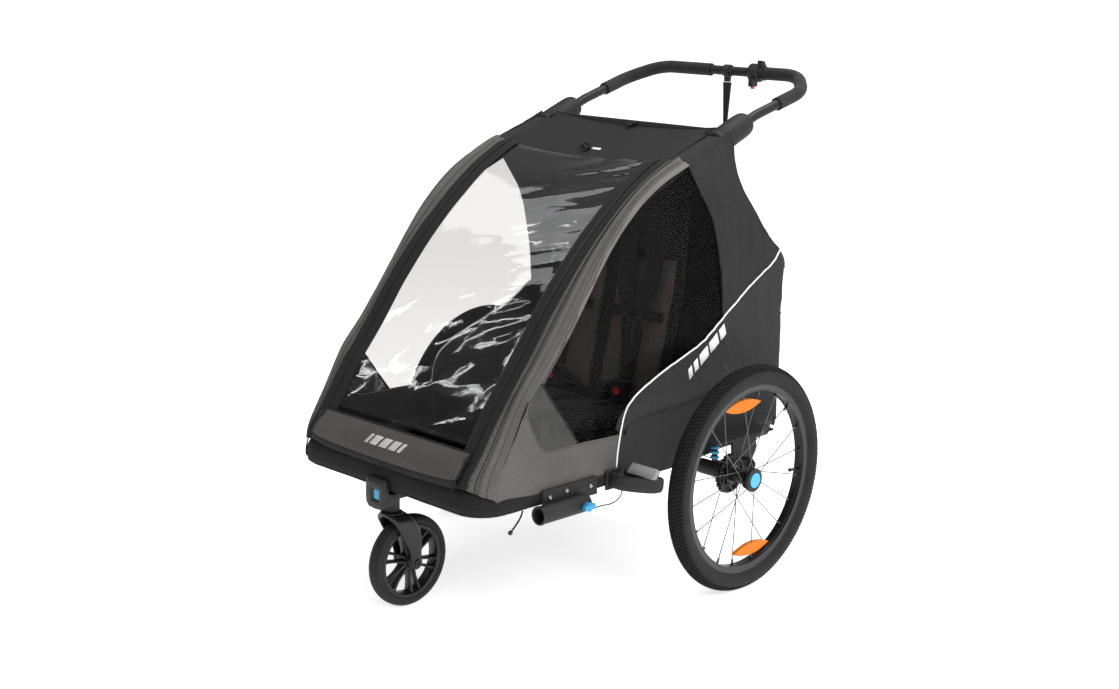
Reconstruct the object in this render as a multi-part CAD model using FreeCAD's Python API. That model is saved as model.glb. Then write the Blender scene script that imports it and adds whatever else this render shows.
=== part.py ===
"""Two-seat child bicycle trailer: folding tube frame, sprung rear wheels, front caster, soft cabin.

Millimetres, +Z up, the trailer's front faces -Y and its left side is +X.
The origin is on the ground under the middle of the trailer.
"""
import FreeCAD, Part
import math
import os

V = FreeCAD.Vector

# ---- rear wheels (20 inch, 47-406) ----
WHEEL_X = 410.0
WHEEL_R = 250.0
AXLE_Y = 144.0
TYRE_SECTION_R = 23.5
RIM_OUTER_R = 211.0
RIM_INNER_R = 195.0
RIM_HALF_WIDTH = 12.5
SPOKE_COUNT = 20
SPOKE_R = 1.1
LENS_R = 149.1
LENS_HALF_HEIGHT = 13.5
HUB_R = 15.0
HUB_INNER_X = 356.0
HUB_OUTER_X = 424.0
FLANGE_X = (373.0, 417.0)
FLANGE_R = 23.0
AXLE_PIN_R = 6.0
RUN_CLEARANCE = 0.05
CAP_X = 426.0
CAP_R = 26.0
CAP_END_X = 434.0
HUB_BUTTON_R = 16.4
HUB_BUTTON_END_X = 436.0

# ---- rear suspension ----
ARM_PIVOT_Y = 274.0
ARM_PIVOT_Z = 235.0
ARM_X = (286.0, 352.0)
ARM_BEAM_X = (304.0, 324.0)
ARM_HOUSING_R = 17.0
PLATE_X = (290.5, 296.5)
SPRING_X = 322.0
SPRING_Z = (267.5, 308.5)

# ---- front caster (8 inch) ----
STEM_Y = -507.0
CASTER_Y = -462.0
CASTER_R = 98.0
CASTER_TYRE_HALF = 17.0
CASTER_RIM_R = 79.0
STEM_R = 10.0
BRACKET_FRONT_Y = -548.0

# ---- base frame ----
BASE_X = 272.0
BASE_Z = 284.0
BASE_REAR_Y = 392.0
BASE_FRONT_Y = -518.0
SEAT_TUBE_Y = -225.0
TUBE_R = 12.5
BUMPER_R = 21.0
SKIN_X = (290.0, 293.0)

# ---- upper frame, side view (y, z) ----
RAIL_X = 256.0
RAIL_FOOT = (-490.0, 314.0)
RAIL_SHIN = (-403.0, 483.0)
RAIL_BEND = (-115.0, 834.0)
RAIL_END = (206.0, 968.5)
BRACKET_R = 25.0
BRACKET_LENGTH = 110.0

# ---- rear strut and upright, side view (y, z) ----
STRUT_X = 218.0
STRUT_R = 11.0
STRUT_TOP = (190.0, 961.8)
STRUT_FOOT = (372.0, 668.0)
UPRIGHT_X = (285.2, 289.0)
UPRIGHT_PIVOT = (384.0, 312.0)
UPRIGHT_TOP = (380.0, 672.0)

# ---- window, side view (y, z) ----
WINDOW_HALF = 215.0
ZIP_HALF = 235.0
WINDOW_FOOT = (-524.0, 345.0)
WINDOW_SPLIT = (-497.0, 380.0)
WINDOW_BEND = (-158.0, 829.0)
WINDOW_TOP = (34.0, 924.0)

# ---- handlebar ----
BAR_R = 11.0
FOAM_R = 15.0
BAR_TOP_Y = 533.0
BAR_TOP_Z = 1090.0

# ---- seats ----
SEAT_HALF = 198.0
SEAT_X = 104.0

# ---- placing: the parts are drawn from the caster stem, then moved so the origin is central ----
MIDDLE_Y = 4.0
TUBE_WALL = 2.0

# ---- tow arm socket and wheel guard ----
SOCKET_X = 313.0
SOCKET_Z = 258.0
SOCKET_Y = (-398.0, -262.0)
SOCKET_R = 18.5
SOCKET_BORE_R = 15.5
SOCKET_DEPTH = 108.0
TOW_PIN_Y = -280.0
TOW_PIN_R = 4.0


def save(name, shape):
    """Write one named sub-part, moved so that the origin is under the trailer's middle."""
    placed = shape.translated(V(0, MIDDLE_Y, 0))
    placed.exportStep("parts/" + name + ".step")


def mirrored(shape):
    return shape.mirror(V(0, 0, 0), V(1, 0, 0))


def pair(shape):
    """A part and its mirror image on the other side of the trailer."""
    return Part.makeCompound([shape, mirrored(shape)])


def box(x0, x1, y0, y1, z0, z1):
    return Part.makeBox(x1 - x0, y1 - y0, z1 - z0, V(x0, y0, z0))


def rod(start, end, radius):
    axis = end - start
    return Part.makeCylinder(radius, axis.Length, start, axis)


def x_rod(x0, x1, y, z, radius):
    return rod(V(x0, y, z), V(x1, y, z), radius)


def x_ring(x0, x1, y, z, outer, inner):
    return x_rod(x0, x1, y, z, outer).cut(x_rod(x0 - 1, x1 + 1, y, z, inner))


def yz_prism(points, x0, x1):
    """A flat plate: an outline in the side view, from x0 to x1."""
    corners = [V(x0, y, z) for y, z in points]
    face = Part.Face(Part.makePolygon(corners + corners[:1]))
    return face.extrude(V(x1 - x0, 0, 0))


def xy_prism(points, z0, z1):
    corners = [V(x, y, z0) for x, y in points]
    face = Part.Face(Part.makePolygon(corners + corners[:1]))
    return face.extrude(V(0, 0, z1 - z0))


def bent_path(points, radii):
    """Straight runs joined by tangent arcs; radii holds one value per inner point."""
    edges = []
    start = points[0]
    for i, radius in enumerate(radii):
        corner = points[i + 1]
        back = (points[i] - corner).normalize()
        ahead = (points[i + 2] - corner).normalize()
        half = back.getAngle(ahead) / 2
        reach = radius / math.tan(half)
        enter = corner + back * reach
        leave = corner + ahead * reach
        middle = (back + ahead).normalize()
        crown = corner + middle * (radius / math.sin(half) - radius)
        if (enter - start).Length > 0.01:
            edges.append(Part.LineSegment(start, enter).toShape())
        edges.append(Part.Arc(enter, crown, leave).toShape())
        start = leave
    edges.append(Part.LineSegment(start, points[-1]).toShape())
    return Part.Wire(edges)


def pipe(points, radii, radius):
    path = bent_path(points, radii)
    first = (points[1] - points[0]).normalize()
    section = Part.Wire(Part.makeCircle(radius, points[0], first))
    return path.makePipeShell([section], True, True)


def sleeve(points, radii, outer, inner):
    return pipe(points, radii, outer).cut(pipe(points, radii, inner))


def side(x, *points):
    """Side-view points (y, z) placed at one x."""
    return [V(x, y, z) for y, z in points]


def along(a, b, distance):
    """The side-view point at a distance from a towards b."""
    length = math.hypot(b[0] - a[0], b[1] - a[1])
    return (a[0] + (b[0] - a[0]) * distance / length, a[1] + (b[1] - a[1]) * distance / length)


RAIL_DIRECTION = V(0, RAIL_END[0] - RAIL_BEND[0], RAIL_END[1] - RAIL_BEND[1]).normalize()


def on_rail(x, distance):
    """A point on the rail's upper line, measured from the rail's end."""
    return V(x, *RAIL_END) + RAIL_DIRECTION * distance


# ---------------------------------------------------------------- base frame
def base_frame():
    corners = [
        V(BASE_X, BASE_REAR_Y, BASE_Z), V(BASE_X, BASE_FRONT_Y, BASE_Z),
        V(-BASE_X, BASE_FRONT_Y, BASE_Z), V(-BASE_X, BASE_REAR_Y, BASE_Z)]
    tube = sleeve(corners, [55, 55], TUBE_R, TUBE_R - TUBE_WALL)
    save("base_tube", tube)

    inner_x = BASE_X - TUBE_R + 1
    cross = [x_rod(-inner_x, inner_x, y, BASE_Z, 11).cut(tube) for y in (SEAT_TUBE_Y, AXLE_Y, 380)]
    ear = yz_prism([(-508, 290), (-472, 290), (-478, 328), (-502, 328)], 240, 243.5).cut(tube)
    other_ear = yz_prism([(-508, 290), (-472, 290), (-478, 328), (-502, 328)], 268.7, 272.2).cut(tube)
    foot = RAIL_FOOT
    hinge = ear.fuse(other_ear).fuse(x_rod(240, 272.2, foot[0], foot[1], 5))
    lug = box(277.5, 284.4, 372, 396, 286, 324).cut(tube)
    lug = lug.fuse(x_rod(277.5, 289.4, UPRIGHT_PIVOT[0], UPRIGHT_PIVOT[1], 5))
    save("frame_fittings", Part.makeCompound(cross + [hinge, mirrored(hinge), lug, mirrored(lug)]))

    bumper = [
        V(BASE_X, -112, BASE_Z), V(BASE_X, BASE_FRONT_Y, BASE_Z),
        V(-BASE_X, BASE_FRONT_Y, BASE_Z), V(-BASE_X, -112, BASE_Z)]
    cover = sleeve(bumper, [55, 55], BUMPER_R, TUBE_R + 0.2)
    ears_room = box(238, 274, -512, -468, 290, 330)
    cover = cover.cut(ears_room).cut(mirrored(ears_room)).cut(box(-31, 31, -600, -400, 200, 262.2))
    cover = cover.cut(x_rod(-inner_x, inner_x, SEAT_TUBE_Y, BASE_Z, 11.3))
    save("bumper_cover", cover)

    floor = box(-250, 250, -490, 374, 264, 267)
    save("floor_panel", floor)


def body_skins():
    """The fabric skins beside the cabin: the fixed lower pair and the folding upper pair."""
    lower = [(-500, 306), (-444, 379), (399, 379), (399, 320), (84, 320), (84, 302), (-480, 302)]
    save("lower_cover", pair(yz_prism(lower, *SKIN_X)))
    upper = [
        (-440, 380), (-403, 468), (-122, 812), (0, 868), (172, 940), (212, 925), (264, 825),
        (383, 707), (404, 672), (399, 380)]
    save("side_upper_panels", pair(yz_prism(upper, *SKIN_X)))

    outer = [(228, 933), (388, 678), (402, 655), (399, 303)]
    inner = [(396, 303), (399, 654), (385.3, 676.5), (225.3, 931.5)]
    wall = yz_prism(outer + inner, -289.8, 289.8)
    wall = wall.cut(box(283, 291, 300, 400, 290, 690)).cut(box(-291, -283, 300, 400, 290, 690))
    bottom = box(-276, 276, 130, 395.8, 300, 303)
    save("rear_bag", Part.makeCompound([wall, bottom]))


# ---------------------------------------------------------------- upper frame
def upper_frame():
    rail_points = side(RAIL_X, along(RAIL_FOOT, RAIL_SHIN, 8), RAIL_SHIN, RAIL_BEND, RAIL_END)
    bore_points = side(RAIL_X, along(RAIL_FOOT, RAIL_SHIN, 32), RAIL_SHIN, RAIL_BEND,
                       along(RAIL_END, RAIL_BEND, -5))
    bore = pipe(bore_points, [120, 160], TUBE_R - TUBE_WALL)
    rail = pipe(rail_points, [120, 160], TUBE_R)
    eye = x_rod(RAIL_X - TUBE_R, RAIL_X + TUBE_R, RAIL_FOOT[0], RAIL_FOOT[1], 13)
    rail = rail.fuse(eye).cut(x_rod(RAIL_X - 20, RAIL_X + 20, RAIL_FOOT[0], RAIL_FOOT[1], 5 + RUN_CLEARANCE))
    cross_y, cross_z = along(RAIL_BEND, RAIL_END, 210)
    bridge = x_rod(-RAIL_X, RAIL_X, cross_y, cross_z, 10)
    frame = rail.fuse(mirrored(rail)).fuse(bridge)
    frame = frame.cut(bore).cut(mirrored(bore)).cut(x_rod(-RAIL_X, RAIL_X, cross_y, cross_z, 10 - TUBE_WALL))
    save("upper_frame", frame.removeSplitter())

    cover_points = side(RAIL_X, along(RAIL_FOOT, RAIL_SHIN, 45), RAIL_SHIN, RAIL_BEND,
                        along(RAIL_END, RAIL_BEND, 60))
    cover = sleeve(cover_points, [120, 160], TUBE_R + 4, TUBE_R + 0.3)
    near_bridge = x_rod(RAIL_X - 30, RAIL_X - 2, cross_y, cross_z, 10.5)
    cover = cover.cut(near_bridge)
    save("rail_covers", pair(cover))

    start = on_rail(RAIL_X, -37)
    body = rod(start, start + RAIL_DIRECTION * BRACKET_LENGTH, BRACKET_R)
    body = body.cut(rod(start - RAIL_DIRECTION, on_rail(RAIL_X, 0.2), TUBE_R + 0.02))
    body = body.cut(rod(on_rail(RAIL_X, 0), on_rail(RAIL_X, 80), BAR_R + 0.1))
    button_centre = on_rail(RAIL_X, 40)
    body = body.cut(rod(button_centre + V(8, 0, 0), button_centre + V(30, 0, 0), 7.1))
    pin_end = RAIL_X - BRACKET_R + 2
    pin = x_rod(STRUT_X - STRUT_R, pin_end, STRUT_TOP[0], STRUT_TOP[1], 4.5)
    body = body.fuse(pin)
    save("handle_brackets", pair(body))
    button = rod(button_centre + V(14.5, 0, 0), button_centre + V(27, 0, 0), 7)
    save("lock_button_left", button)
    save("lock_button_right", mirrored(button))


def window_sheet(first, points, radii, half, rise, thick):
    """A sheet that follows the window's side-view line, as wide as 2 * half."""
    path = bent_path([V(0, *first)] + side(0, *points), radii)
    face = path.extrude(V(2 * half, 0, 0))
    face.translate(V(-half, 0, rise))
    solids = [f.extrude(V(0, 0, thick)) for f in face.Faces]
    sheet = solids[0]
    for extra in solids[1:]:
        sheet = sheet.fuse(extra)
    return sheet.removeSplitter()


def window():
    foil = window_sheet(along(WINDOW_SPLIT, WINDOW_BEND, 1), [WINDOW_BEND, WINDOW_TOP], [450],
                        WINDOW_HALF - 0.5, 0, 2.0)
    save("window_foil", foil)
    panel = yz_prism([WINDOW_FOOT, WINDOW_SPLIT, (WINDOW_SPLIT[0] - 3, WINDOW_SPLIT[1] + 3),
                      (WINDOW_FOOT[0] - 3, WINDOW_FOOT[1] + 3)], -WINDOW_HALF + 0.5, WINDOW_HALF - 0.5)
    save("front_panel", panel)
    tape = window_sheet(WINDOW_FOOT, [WINDOW_BEND, WINDOW_TOP], [450], (ZIP_HALF - WINDOW_HALF) / 2, 0, 2.5)
    tape.translate(V((ZIP_HALF + WINDOW_HALF) / 2, 0, 0))
    save("window_zips", pair(tape))

    direction = V(0, WINDOW_BEND[0] - WINDOW_FOOT[0], WINDOW_BEND[1] - WINDOW_FOOT[1]).normalize()
    normal = V(0, -direction.z, direction.y)
    base = V((ZIP_HALF + WINDOW_HALF) / 2, *WINDOW_FOOT) + direction * 30
    slider = rod(base + normal * 4.6, base + normal * 10.6, 5)
    slider = slider.fuse(rod(base + normal * 4.6 + direction * 6, base + normal * 9 + direction * 6, 4))
    hook = base + normal * 7
    tip = hook - direction * 42
    pull = yz_prism([(hook.y, hook.z), (tip.y, tip.z), (tip.y + 2 * normal.y, tip.z + 2 * normal.z),
                     (hook.y + 2 * normal.y, hook.z + 2 * normal.z)], base.x - 3, base.x + 3)
    slider = slider.fuse(pull)
    save("zip_slider_left", slider)
    save("zip_slider_right", mirrored(slider))


def roof():
    front = Part.Arc(V(-238, 40, 922), V(0, 40, 910), V(238, 40, 922)).toShape()
    rear = Part.Arc(V(-238, 196, 984), V(0, 196, 973), V(238, 196, 984)).toShape()
    sheet = Part.makeRuledSurface(front, rear).extrude(V(0, 0, 3))
    frame_tube = x_rod(-RAIL_X, RAIL_X, *along(RAIL_BEND, RAIL_END, 210), 10.6)
    brackets = rod(on_rail(RAIL_X, -38), on_rail(RAIL_X, 20), BRACKET_R + 0.6)
    sheet = sheet.cut(frame_tube).cut(brackets).cut(mirrored(brackets))
    save("roof_panel", sheet)


# ---------------------------------------------------------------- rear strut and uprights
def strut_leg(x):
    top = V(x, *along(STRUT_TOP, STRUT_FOOT, 8))
    return rod(top, V(x, *along(STRUT_FOOT, STRUT_TOP, -9)), STRUT_R)


def rear_strut():
    leg = strut_leg(STRUT_X)
    eye = x_rod(STRUT_X - 9, STRUT_X + 9, STRUT_TOP[0], STRUT_TOP[1], 13)
    leg = leg.fuse(eye)
    leg = leg.cut(x_rod(STRUT_X - 30, STRUT_X + 30, STRUT_TOP[0], STRUT_TOP[1], 4.5 + RUN_CLEARANCE))
    leg = leg.fuse(x_rod(STRUT_X - 3, UPRIGHT_X[0] - 1.2, STRUT_FOOT[0], STRUT_FOOT[1], 7))
    tie_y, tie_z = along(STRUT_TOP, STRUT_FOOT, 70)
    bow = leg.fuse(mirrored(leg)).fuse(x_rod(-STRUT_X, STRUT_X, tie_y, tie_z, 9))
    save("rear_strut", bow)

    (py, pz), (ty, tz) = UPRIGHT_PIVOT, UPRIGHT_TOP
    bar = yz_prism([(py - 12, pz), (py + 12, pz), (ty + 12, tz), (ty - 12, tz)], *UPRIGHT_X)
    bar = bar.fuse(x_rod(*UPRIGHT_X, py, pz, 12)).fuse(x_rod(*UPRIGHT_X, ty, tz, 12))
    bar = bar.cut(x_rod(280, 292, py, pz, 5 + RUN_CLEARANCE))
    save("rear_uprights", pair(bar))


# ---------------------------------------------------------------- handlebar
def handlebar():
    inside = on_rail(RAIL_X, 2)
    exit_end = on_rail(RAIL_X, 112)
    left = [inside, exit_end, V(262, 470, 1060), V(205, BAR_TOP_Y, BAR_TOP_Z)]
    right = [V(-p.x, p.y, p.z) for p in reversed(left)]
    save("handlebar", sleeve(left + right, [140, 85, 80, 80, 85, 140], BAR_R, BAR_R - TUBE_WALL))

    grip_low = left[1] + (left[2] - left[1]).normalize() * 76
    long_grip = sleeve([grip_low, left[2], left[3], V(112, BAR_TOP_Y, BAR_TOP_Z)], [85, 80],
                       FOAM_R, BAR_R + 0.1)
    low = V(-grip_low.x, grip_low.y, grip_low.z)
    short_grip = sleeve([low, right[1], right[0], V(-50, BAR_TOP_Y, BAR_TOP_Z)], [85, 80],
                        FOAM_R, BAR_R + 0.1)
    save("foam_grips", Part.makeCompound([long_grip, short_grip]))

    clamp = x_ring(-9, 9, BAR_TOP_Y, BAR_TOP_Z, 15, BAR_R + 0.05)
    drop = box(-8, 8, BAR_TOP_Y - 5, BAR_TOP_Y + 5, BAR_TOP_Z - 26, BAR_TOP_Z - 13)

    housing = x_ring(78, 96, BAR_TOP_Y, BAR_TOP_Z, 19, BAR_R + 0.05)
    nose = box(80, 94, BAR_TOP_Y - 26, BAR_TOP_Y - 4, BAR_TOP_Z - 32, BAR_TOP_Z - 12)
    socket = rod(V(87, BAR_TOP_Y - 15, BAR_TOP_Z - 33), V(87, BAR_TOP_Y - 15, BAR_TOP_Z - 22), 5.1)
    housing = housing.fuse(nose).cut(x_rod(70, 110, BAR_TOP_Y, BAR_TOP_Z, BAR_R + 0.05)).cut(socket)
    save("bar_clamps", Part.makeCompound([clamp.fuse(drop), housing]))
    button = rod(V(87, BAR_TOP_Y - 15, BAR_TOP_Z - 37), V(87, BAR_TOP_Y - 15, BAR_TOP_Z - 26), 5)
    save("brake_button", button)

    ring = x_ring(97, 111, BAR_TOP_Y, BAR_TOP_Z, 17, BAR_R + 0.1)
    paddle = yz_prism([(BAR_TOP_Y - 12, BAR_TOP_Z + 11), (BAR_TOP_Y + 4, BAR_TOP_Z + 15),
                       (BAR_TOP_Y - 4, BAR_TOP_Z + 28), (BAR_TOP_Y - 16, BAR_TOP_Z + 30)], 97, 111)
    save("brake_lever", ring.fuse(paddle))


# ---------------------------------------------------------------- cords
STRAP_ROUTE = [(0, 533, 1063), (1.5, 531, 1020), (-0.5, 533.5, 978), (0.5, 532, 940)]
LANYARD_ROUTE = [
    (338, -257, 252), (333, -238, 250), (325, -217, 245), (315, -195, 239), (307, -174, 235),
    (303, -155, 236), (302, -141, 243), (302, -137, 254), (303, -146, 267)]
TOW_STRAP_ROUTE = [(284.9, -414.4, 265.3), (287.5, -418, 261), (290, -427, 252), (291.5, -438, 243), (292, -451, 233)]


def soft_radii(points):
    """Each arc as large as its two runs allow: 0.45 of the shorter run over tan(turn / 2)."""
    radii = []
    for a, b, c in zip(points, points[1:], points[2:]):
        turn = (b - a).getAngle(c - b)
        shorter = min((b - a).Length, (c - b).Length)
        radii.append(0.45 * shorter / math.tan(turn / 2))
    return radii


def cords():
    for name, route, radius in (
            ("wrist_strap", STRAP_ROUTE, 2.2),
            ("pin_lanyard", LANYARD_ROUTE, 1.25),
            ("tow_strap", TOW_STRAP_ROUTE, 1.8)):
        points = [V(*p) for p in route]
        radii = soft_radii(points)
        print(name, "bend radii", [round(r, 1) for r in radii])
        cord = pipe(points, radii, radius)
        length = bent_path(points, radii).Length
        print(name, "length", round(length, 1), "volume ratio",
              round(cord.Volume / (math.pi * radius ** 2 * length), 4))
        if name == "wrist_strap":
            cord = Part.makeCompound([cord, wrist_loop(points[-1])])
        if name == "tow_strap":
            last = points[-1]
            down = (points[-1] - points[-2]).normalize()
            cord = Part.makeCompound([cord, rod(last, last + down * 8, 4.5)])
        save(name, cord)


def wrist_loop(top):
    """A flat webbing loop that hangs from the strap's lower end."""
    outer = yz_prism([(top.y - 4, top.z - 0.4), (top.y + 4, top.z - 0.4), (top.y + 28, top.z - 50),
                      (top.y + 20, top.z - 84), (top.y - 20, top.z - 84), (top.y - 28, top.z - 50)], -7, 7)
    inner = yz_prism([(top.y, top.z - 8), (top.y + 25.5, top.z - 50), (top.y + 18.5, top.z - 81.5),
                      (top.y - 18.5, top.z - 81.5), (top.y - 25.5, top.z - 50)], -8, 8)
    return outer.cut(inner)


# ---------------------------------------------------------------- cabin
def cabin():
    seat = yz_prism([(-226, 300), (-216, 375), (-190, 388), (60, 362), (84, 352), (84, 318)],
                    -SEAT_HALF, SEAT_HALF)
    well = yz_prism([(-206, 296), (-198, 350), (66, 330), (66, 290)], -SEAT_HALF + 10, SEAT_HALF - 10)
    save("seat_cushion", seat.cut(well))
    back = yz_prism([(88, 352), (120, 356), (176, 640), (184, 900), (156, 900), (146, 640)],
                    -SEAT_HALF, SEAT_HALF)
    save("seat_back", back)

    straps = []
    pads = []
    for seat_x in (-SEAT_X, SEAT_X):
        for side_sign in (-1, 1):
            x = seat_x + side_sign * 42
            front = yz_prism([(80, 372), (84.5, 372), (142, 640), (146, 760), (141, 760), (137, 640)],
                             x - 12, x + 12)
            straps.append(front)
            pad = yz_prism([(116, 560), (131, 640), (137, 735), (121, 735), (110, 640), (98, 560)],
                           x - 20, x + 20)
            pads.append(pad)
        straps.append(yz_prism([(-20, 370.7), (48, 363.6), (68, 372.4), (80, 372.4), (80, 374.9),
                                (67, 374.9), (47.2, 366.3), (-20, 373.3)], seat_x - 12, seat_x + 12))
    pads = [pad.cut(Part.makeCompound(straps)) for pad in pads]
    save("harness", Part.makeCompound(straps + pads))

    buckles = []
    for seat_x, name in ((SEAT_X, "left"), (-SEAT_X, "right")):
        body = box(seat_x - 22, seat_x + 22, 58, 82, 375, 420)
        body = body.cut(x_rod(seat_x - 40, seat_x + 40, 50, 428, 9))
        pocket = rod(V(seat_x, 57, 397), V(seat_x, 68, 397), 9.1)
        body = body.cut(pocket)
        body = body.fuse(box(seat_x - 16, seat_x + 16, 82, 86, 379, 396))
        buckles.append(body)
        save("buckle_button_" + name, rod(V(seat_x, 55, 397), V(seat_x, 64, 397), 9))
    save("crotch_buckles", Part.makeCompound(buckles))


# ---------------------------------------------------------------- rear wheels
def rear_wheel():
    y, z = AXLE_Y, WHEEL_R
    x0, x1 = WHEEL_X - RIM_HALF_WIDTH, WHEEL_X + RIM_HALF_WIDTH
    rim = x_ring(x0, x1, y, z, RIM_OUTER_R, RIM_INNER_R)
    rim = rim.cut(x_ring(x0 + 3, x1 - 3, y, z, RIM_OUTER_R + 1, RIM_INNER_R + 4))
    torus_r = WHEEL_R - TYRE_SECTION_R
    centre = V(WHEEL_X, y, z)
    tyre = Part.makeTorus(torus_r, TYRE_SECTION_R, centre, V(1, 0, 0))
    tyre = tyre.cut(Part.makeTorus(torus_r, TYRE_SECTION_R - 4, centre, V(1, 0, 0)))
    tyre = tyre.cut(x_ring(x0 - 0.1, x1 + 0.1, y, z, RIM_OUTER_R + 0.2, 190))
    valve_angle = math.radians(-5)
    out = V(0, math.cos(valve_angle), math.sin(valve_angle))
    valve = rod(centre + out * 166, centre + out * (RIM_INNER_R + 2), 3.2)
    rim = rim.fuse(valve)

    hub = x_rod(HUB_INNER_X, HUB_OUTER_X, y, z, HUB_R)
    for flange_x in FLANGE_X:
        hub = hub.fuse(x_rod(flange_x - 1.4, flange_x + 1.4, y, z, FLANGE_R))
    hub = hub.cut(x_rod(340, 430, y, z, AXLE_PIN_R + RUN_CLEARANCE))
    brake = x_ring(360, 367, y, z, 40, HUB_R)
    teeth = 18
    for i in range(teeth):
        a = 2 * math.pi * i / teeth
        tooth = box(360, 367, -5, 5, 38, 44)
        tooth.rotate(V(0, 0, 0), V(1, 0, 0), math.degrees(a))
        tooth.translate(V(0, y, z))
        brake = brake.fuse(tooth)
    spokes = []
    for i in range(SPOKE_COUNT):
        rim_angle = 2 * math.pi * (i + 0.5) / SPOKE_COUNT
        flange = i % 2
        lean = 1 if (i // 2) % 2 else -1
        hub_angle = rim_angle + lean * math.radians(62)
        flange_x = FLANGE_X[flange] + lean * 2.7
        a = V(flange_x, y + 20 * math.cos(hub_angle), z + 20 * math.sin(hub_angle))
        rim_x = WHEEL_X + (2 if flange else -2)
        b = V(rim_x, y + 194.4 * math.cos(rim_angle), z + 194.4 * math.sin(rim_angle))
        spoke = rod(a, b, SPOKE_R)
        tip = (a - b).normalize()
        spoke = spoke.fuse(rod(b, b + tip * 12, 2.0))
        spokes.append(spoke)
    hub = Part.makeCompound([hub.cut(Part.makeCompound(spokes)), brake])

    reflectors = []
    for angle, reach in ((math.radians(100), 168), (math.radians(-80), 168)):
        middle = centre + V(0, math.cos(angle), math.sin(angle)) * reach
        lens = Part.makeCylinder(LENS_R, 9, V(WHEEL_X - 4.5, 0, LENS_HALF_HEIGHT - LENS_R), V(1, 0, 0)).common(
            Part.makeCylinder(LENS_R, 9, V(WHEEL_X - 4.5, 0, LENS_R - LENS_HALF_HEIGHT), V(1, 0, 0)))
        lens.rotate(V(0, 0, 0), V(1, 0, 0), 2)
        lens.translate(V(0, middle.y, middle.z))
        reflectors.append(lens.cut(Part.makeCompound(spokes)))

    pin = x_rod(ARM_X[0] + 4, CAP_X, y, z, AXLE_PIN_R)
    cap = x_rod(CAP_X, CAP_END_X, y, z, CAP_R)
    notches = 24
    for i in range(notches):
        a = 2 * math.pi * i / notches
        cap = cap.cut(x_rod(CAP_X - 1, CAP_END_X + 1, y + 27 * math.cos(a), z + 27 * math.sin(a), 2))
    cap = cap.cut(x_rod(CAP_X + 2, CAP_END_X + 1, y, z, HUB_BUTTON_R + 0.1))
    axle = pin.fuse(cap)
    button = x_rod(CAP_X + 5, HUB_BUTTON_END_X, y, z, HUB_BUTTON_R)

    housing = x_rod(*ARM_X, y, z, ARM_HOUSING_R)
    eye = x_rod(*ARM_BEAM_X, ARM_PIVOT_Y, ARM_PIVOT_Z, 15)
    beam = yz_prism([(y, z + 13), (ARM_PIVOT_Y, ARM_PIVOT_Z + 12), (ARM_PIVOT_Y, ARM_PIVOT_Z - 12),
                     (y, z - 13)], *ARM_BEAM_X)
    arm = housing.fuse(eye).fuse(beam)
    arm = arm.cut(x_rod(ARM_X[0] + 4, 360, y, z, AXLE_PIN_R))
    arm = arm.cut(x_rod(290, 340, ARM_PIVOT_Y, ARM_PIVOT_Z, AXLE_PIN_R + RUN_CLEARANCE))
    arm = Part.makeCompound([arm, axle])

    spring = rod(V(SPRING_X, y, SPRING_Z[0]), V(SPRING_X, y, SPRING_Z[1]), 8)
    rings = 5
    for i in range(rings):
        low = SPRING_Z[0] + 1.5 + i * 8
        spring = spring.fuse(rod(V(SPRING_X, y, low), V(SPRING_X, y, low + 5), 12.5))

    parts = {
        "rear_rim": rim, "rear_tyre": tyre, "rear_hub": hub,
        "rear_spokes": Part.makeCompound(spokes),
        "spoke_reflectors": Part.makeCompound(reflectors), "hub_button": button,
        "swing_arm": arm, "suspension_spring": spring}
    for name, shape in parts.items():
        save(name + "_left", shape)
        save(name + "_right", mirrored(shape))


def suspension_plates():
    plate = yz_prism([(236, 314), (330, 314), (330, 250), (300, 214), (262, 212), (248, 232)], *PLATE_X)
    boss = x_rod(BASE_X + TUBE_R, PLATE_X[0] + 1, 260, BASE_Z, 7)
    boss = boss.fuse(x_rod(BASE_X + TUBE_R, PLATE_X[0] + 1, 312, BASE_Z, 7))
    seat = box(PLATE_X[0], 342, 122, 330, 309, 314)
    pin = x_rod(PLATE_X[0], 330, ARM_PIVOT_Y, ARM_PIVOT_Z, AXLE_PIN_R)
    head = x_rod(ARM_BEAM_X[1] + 1, 332, ARM_PIVOT_Y, ARM_PIVOT_Z, 10)
    plate = plate.fuse(boss).fuse(seat).fuse(pin).fuse(head)
    save("suspension_plates", pair(plate))


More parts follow.
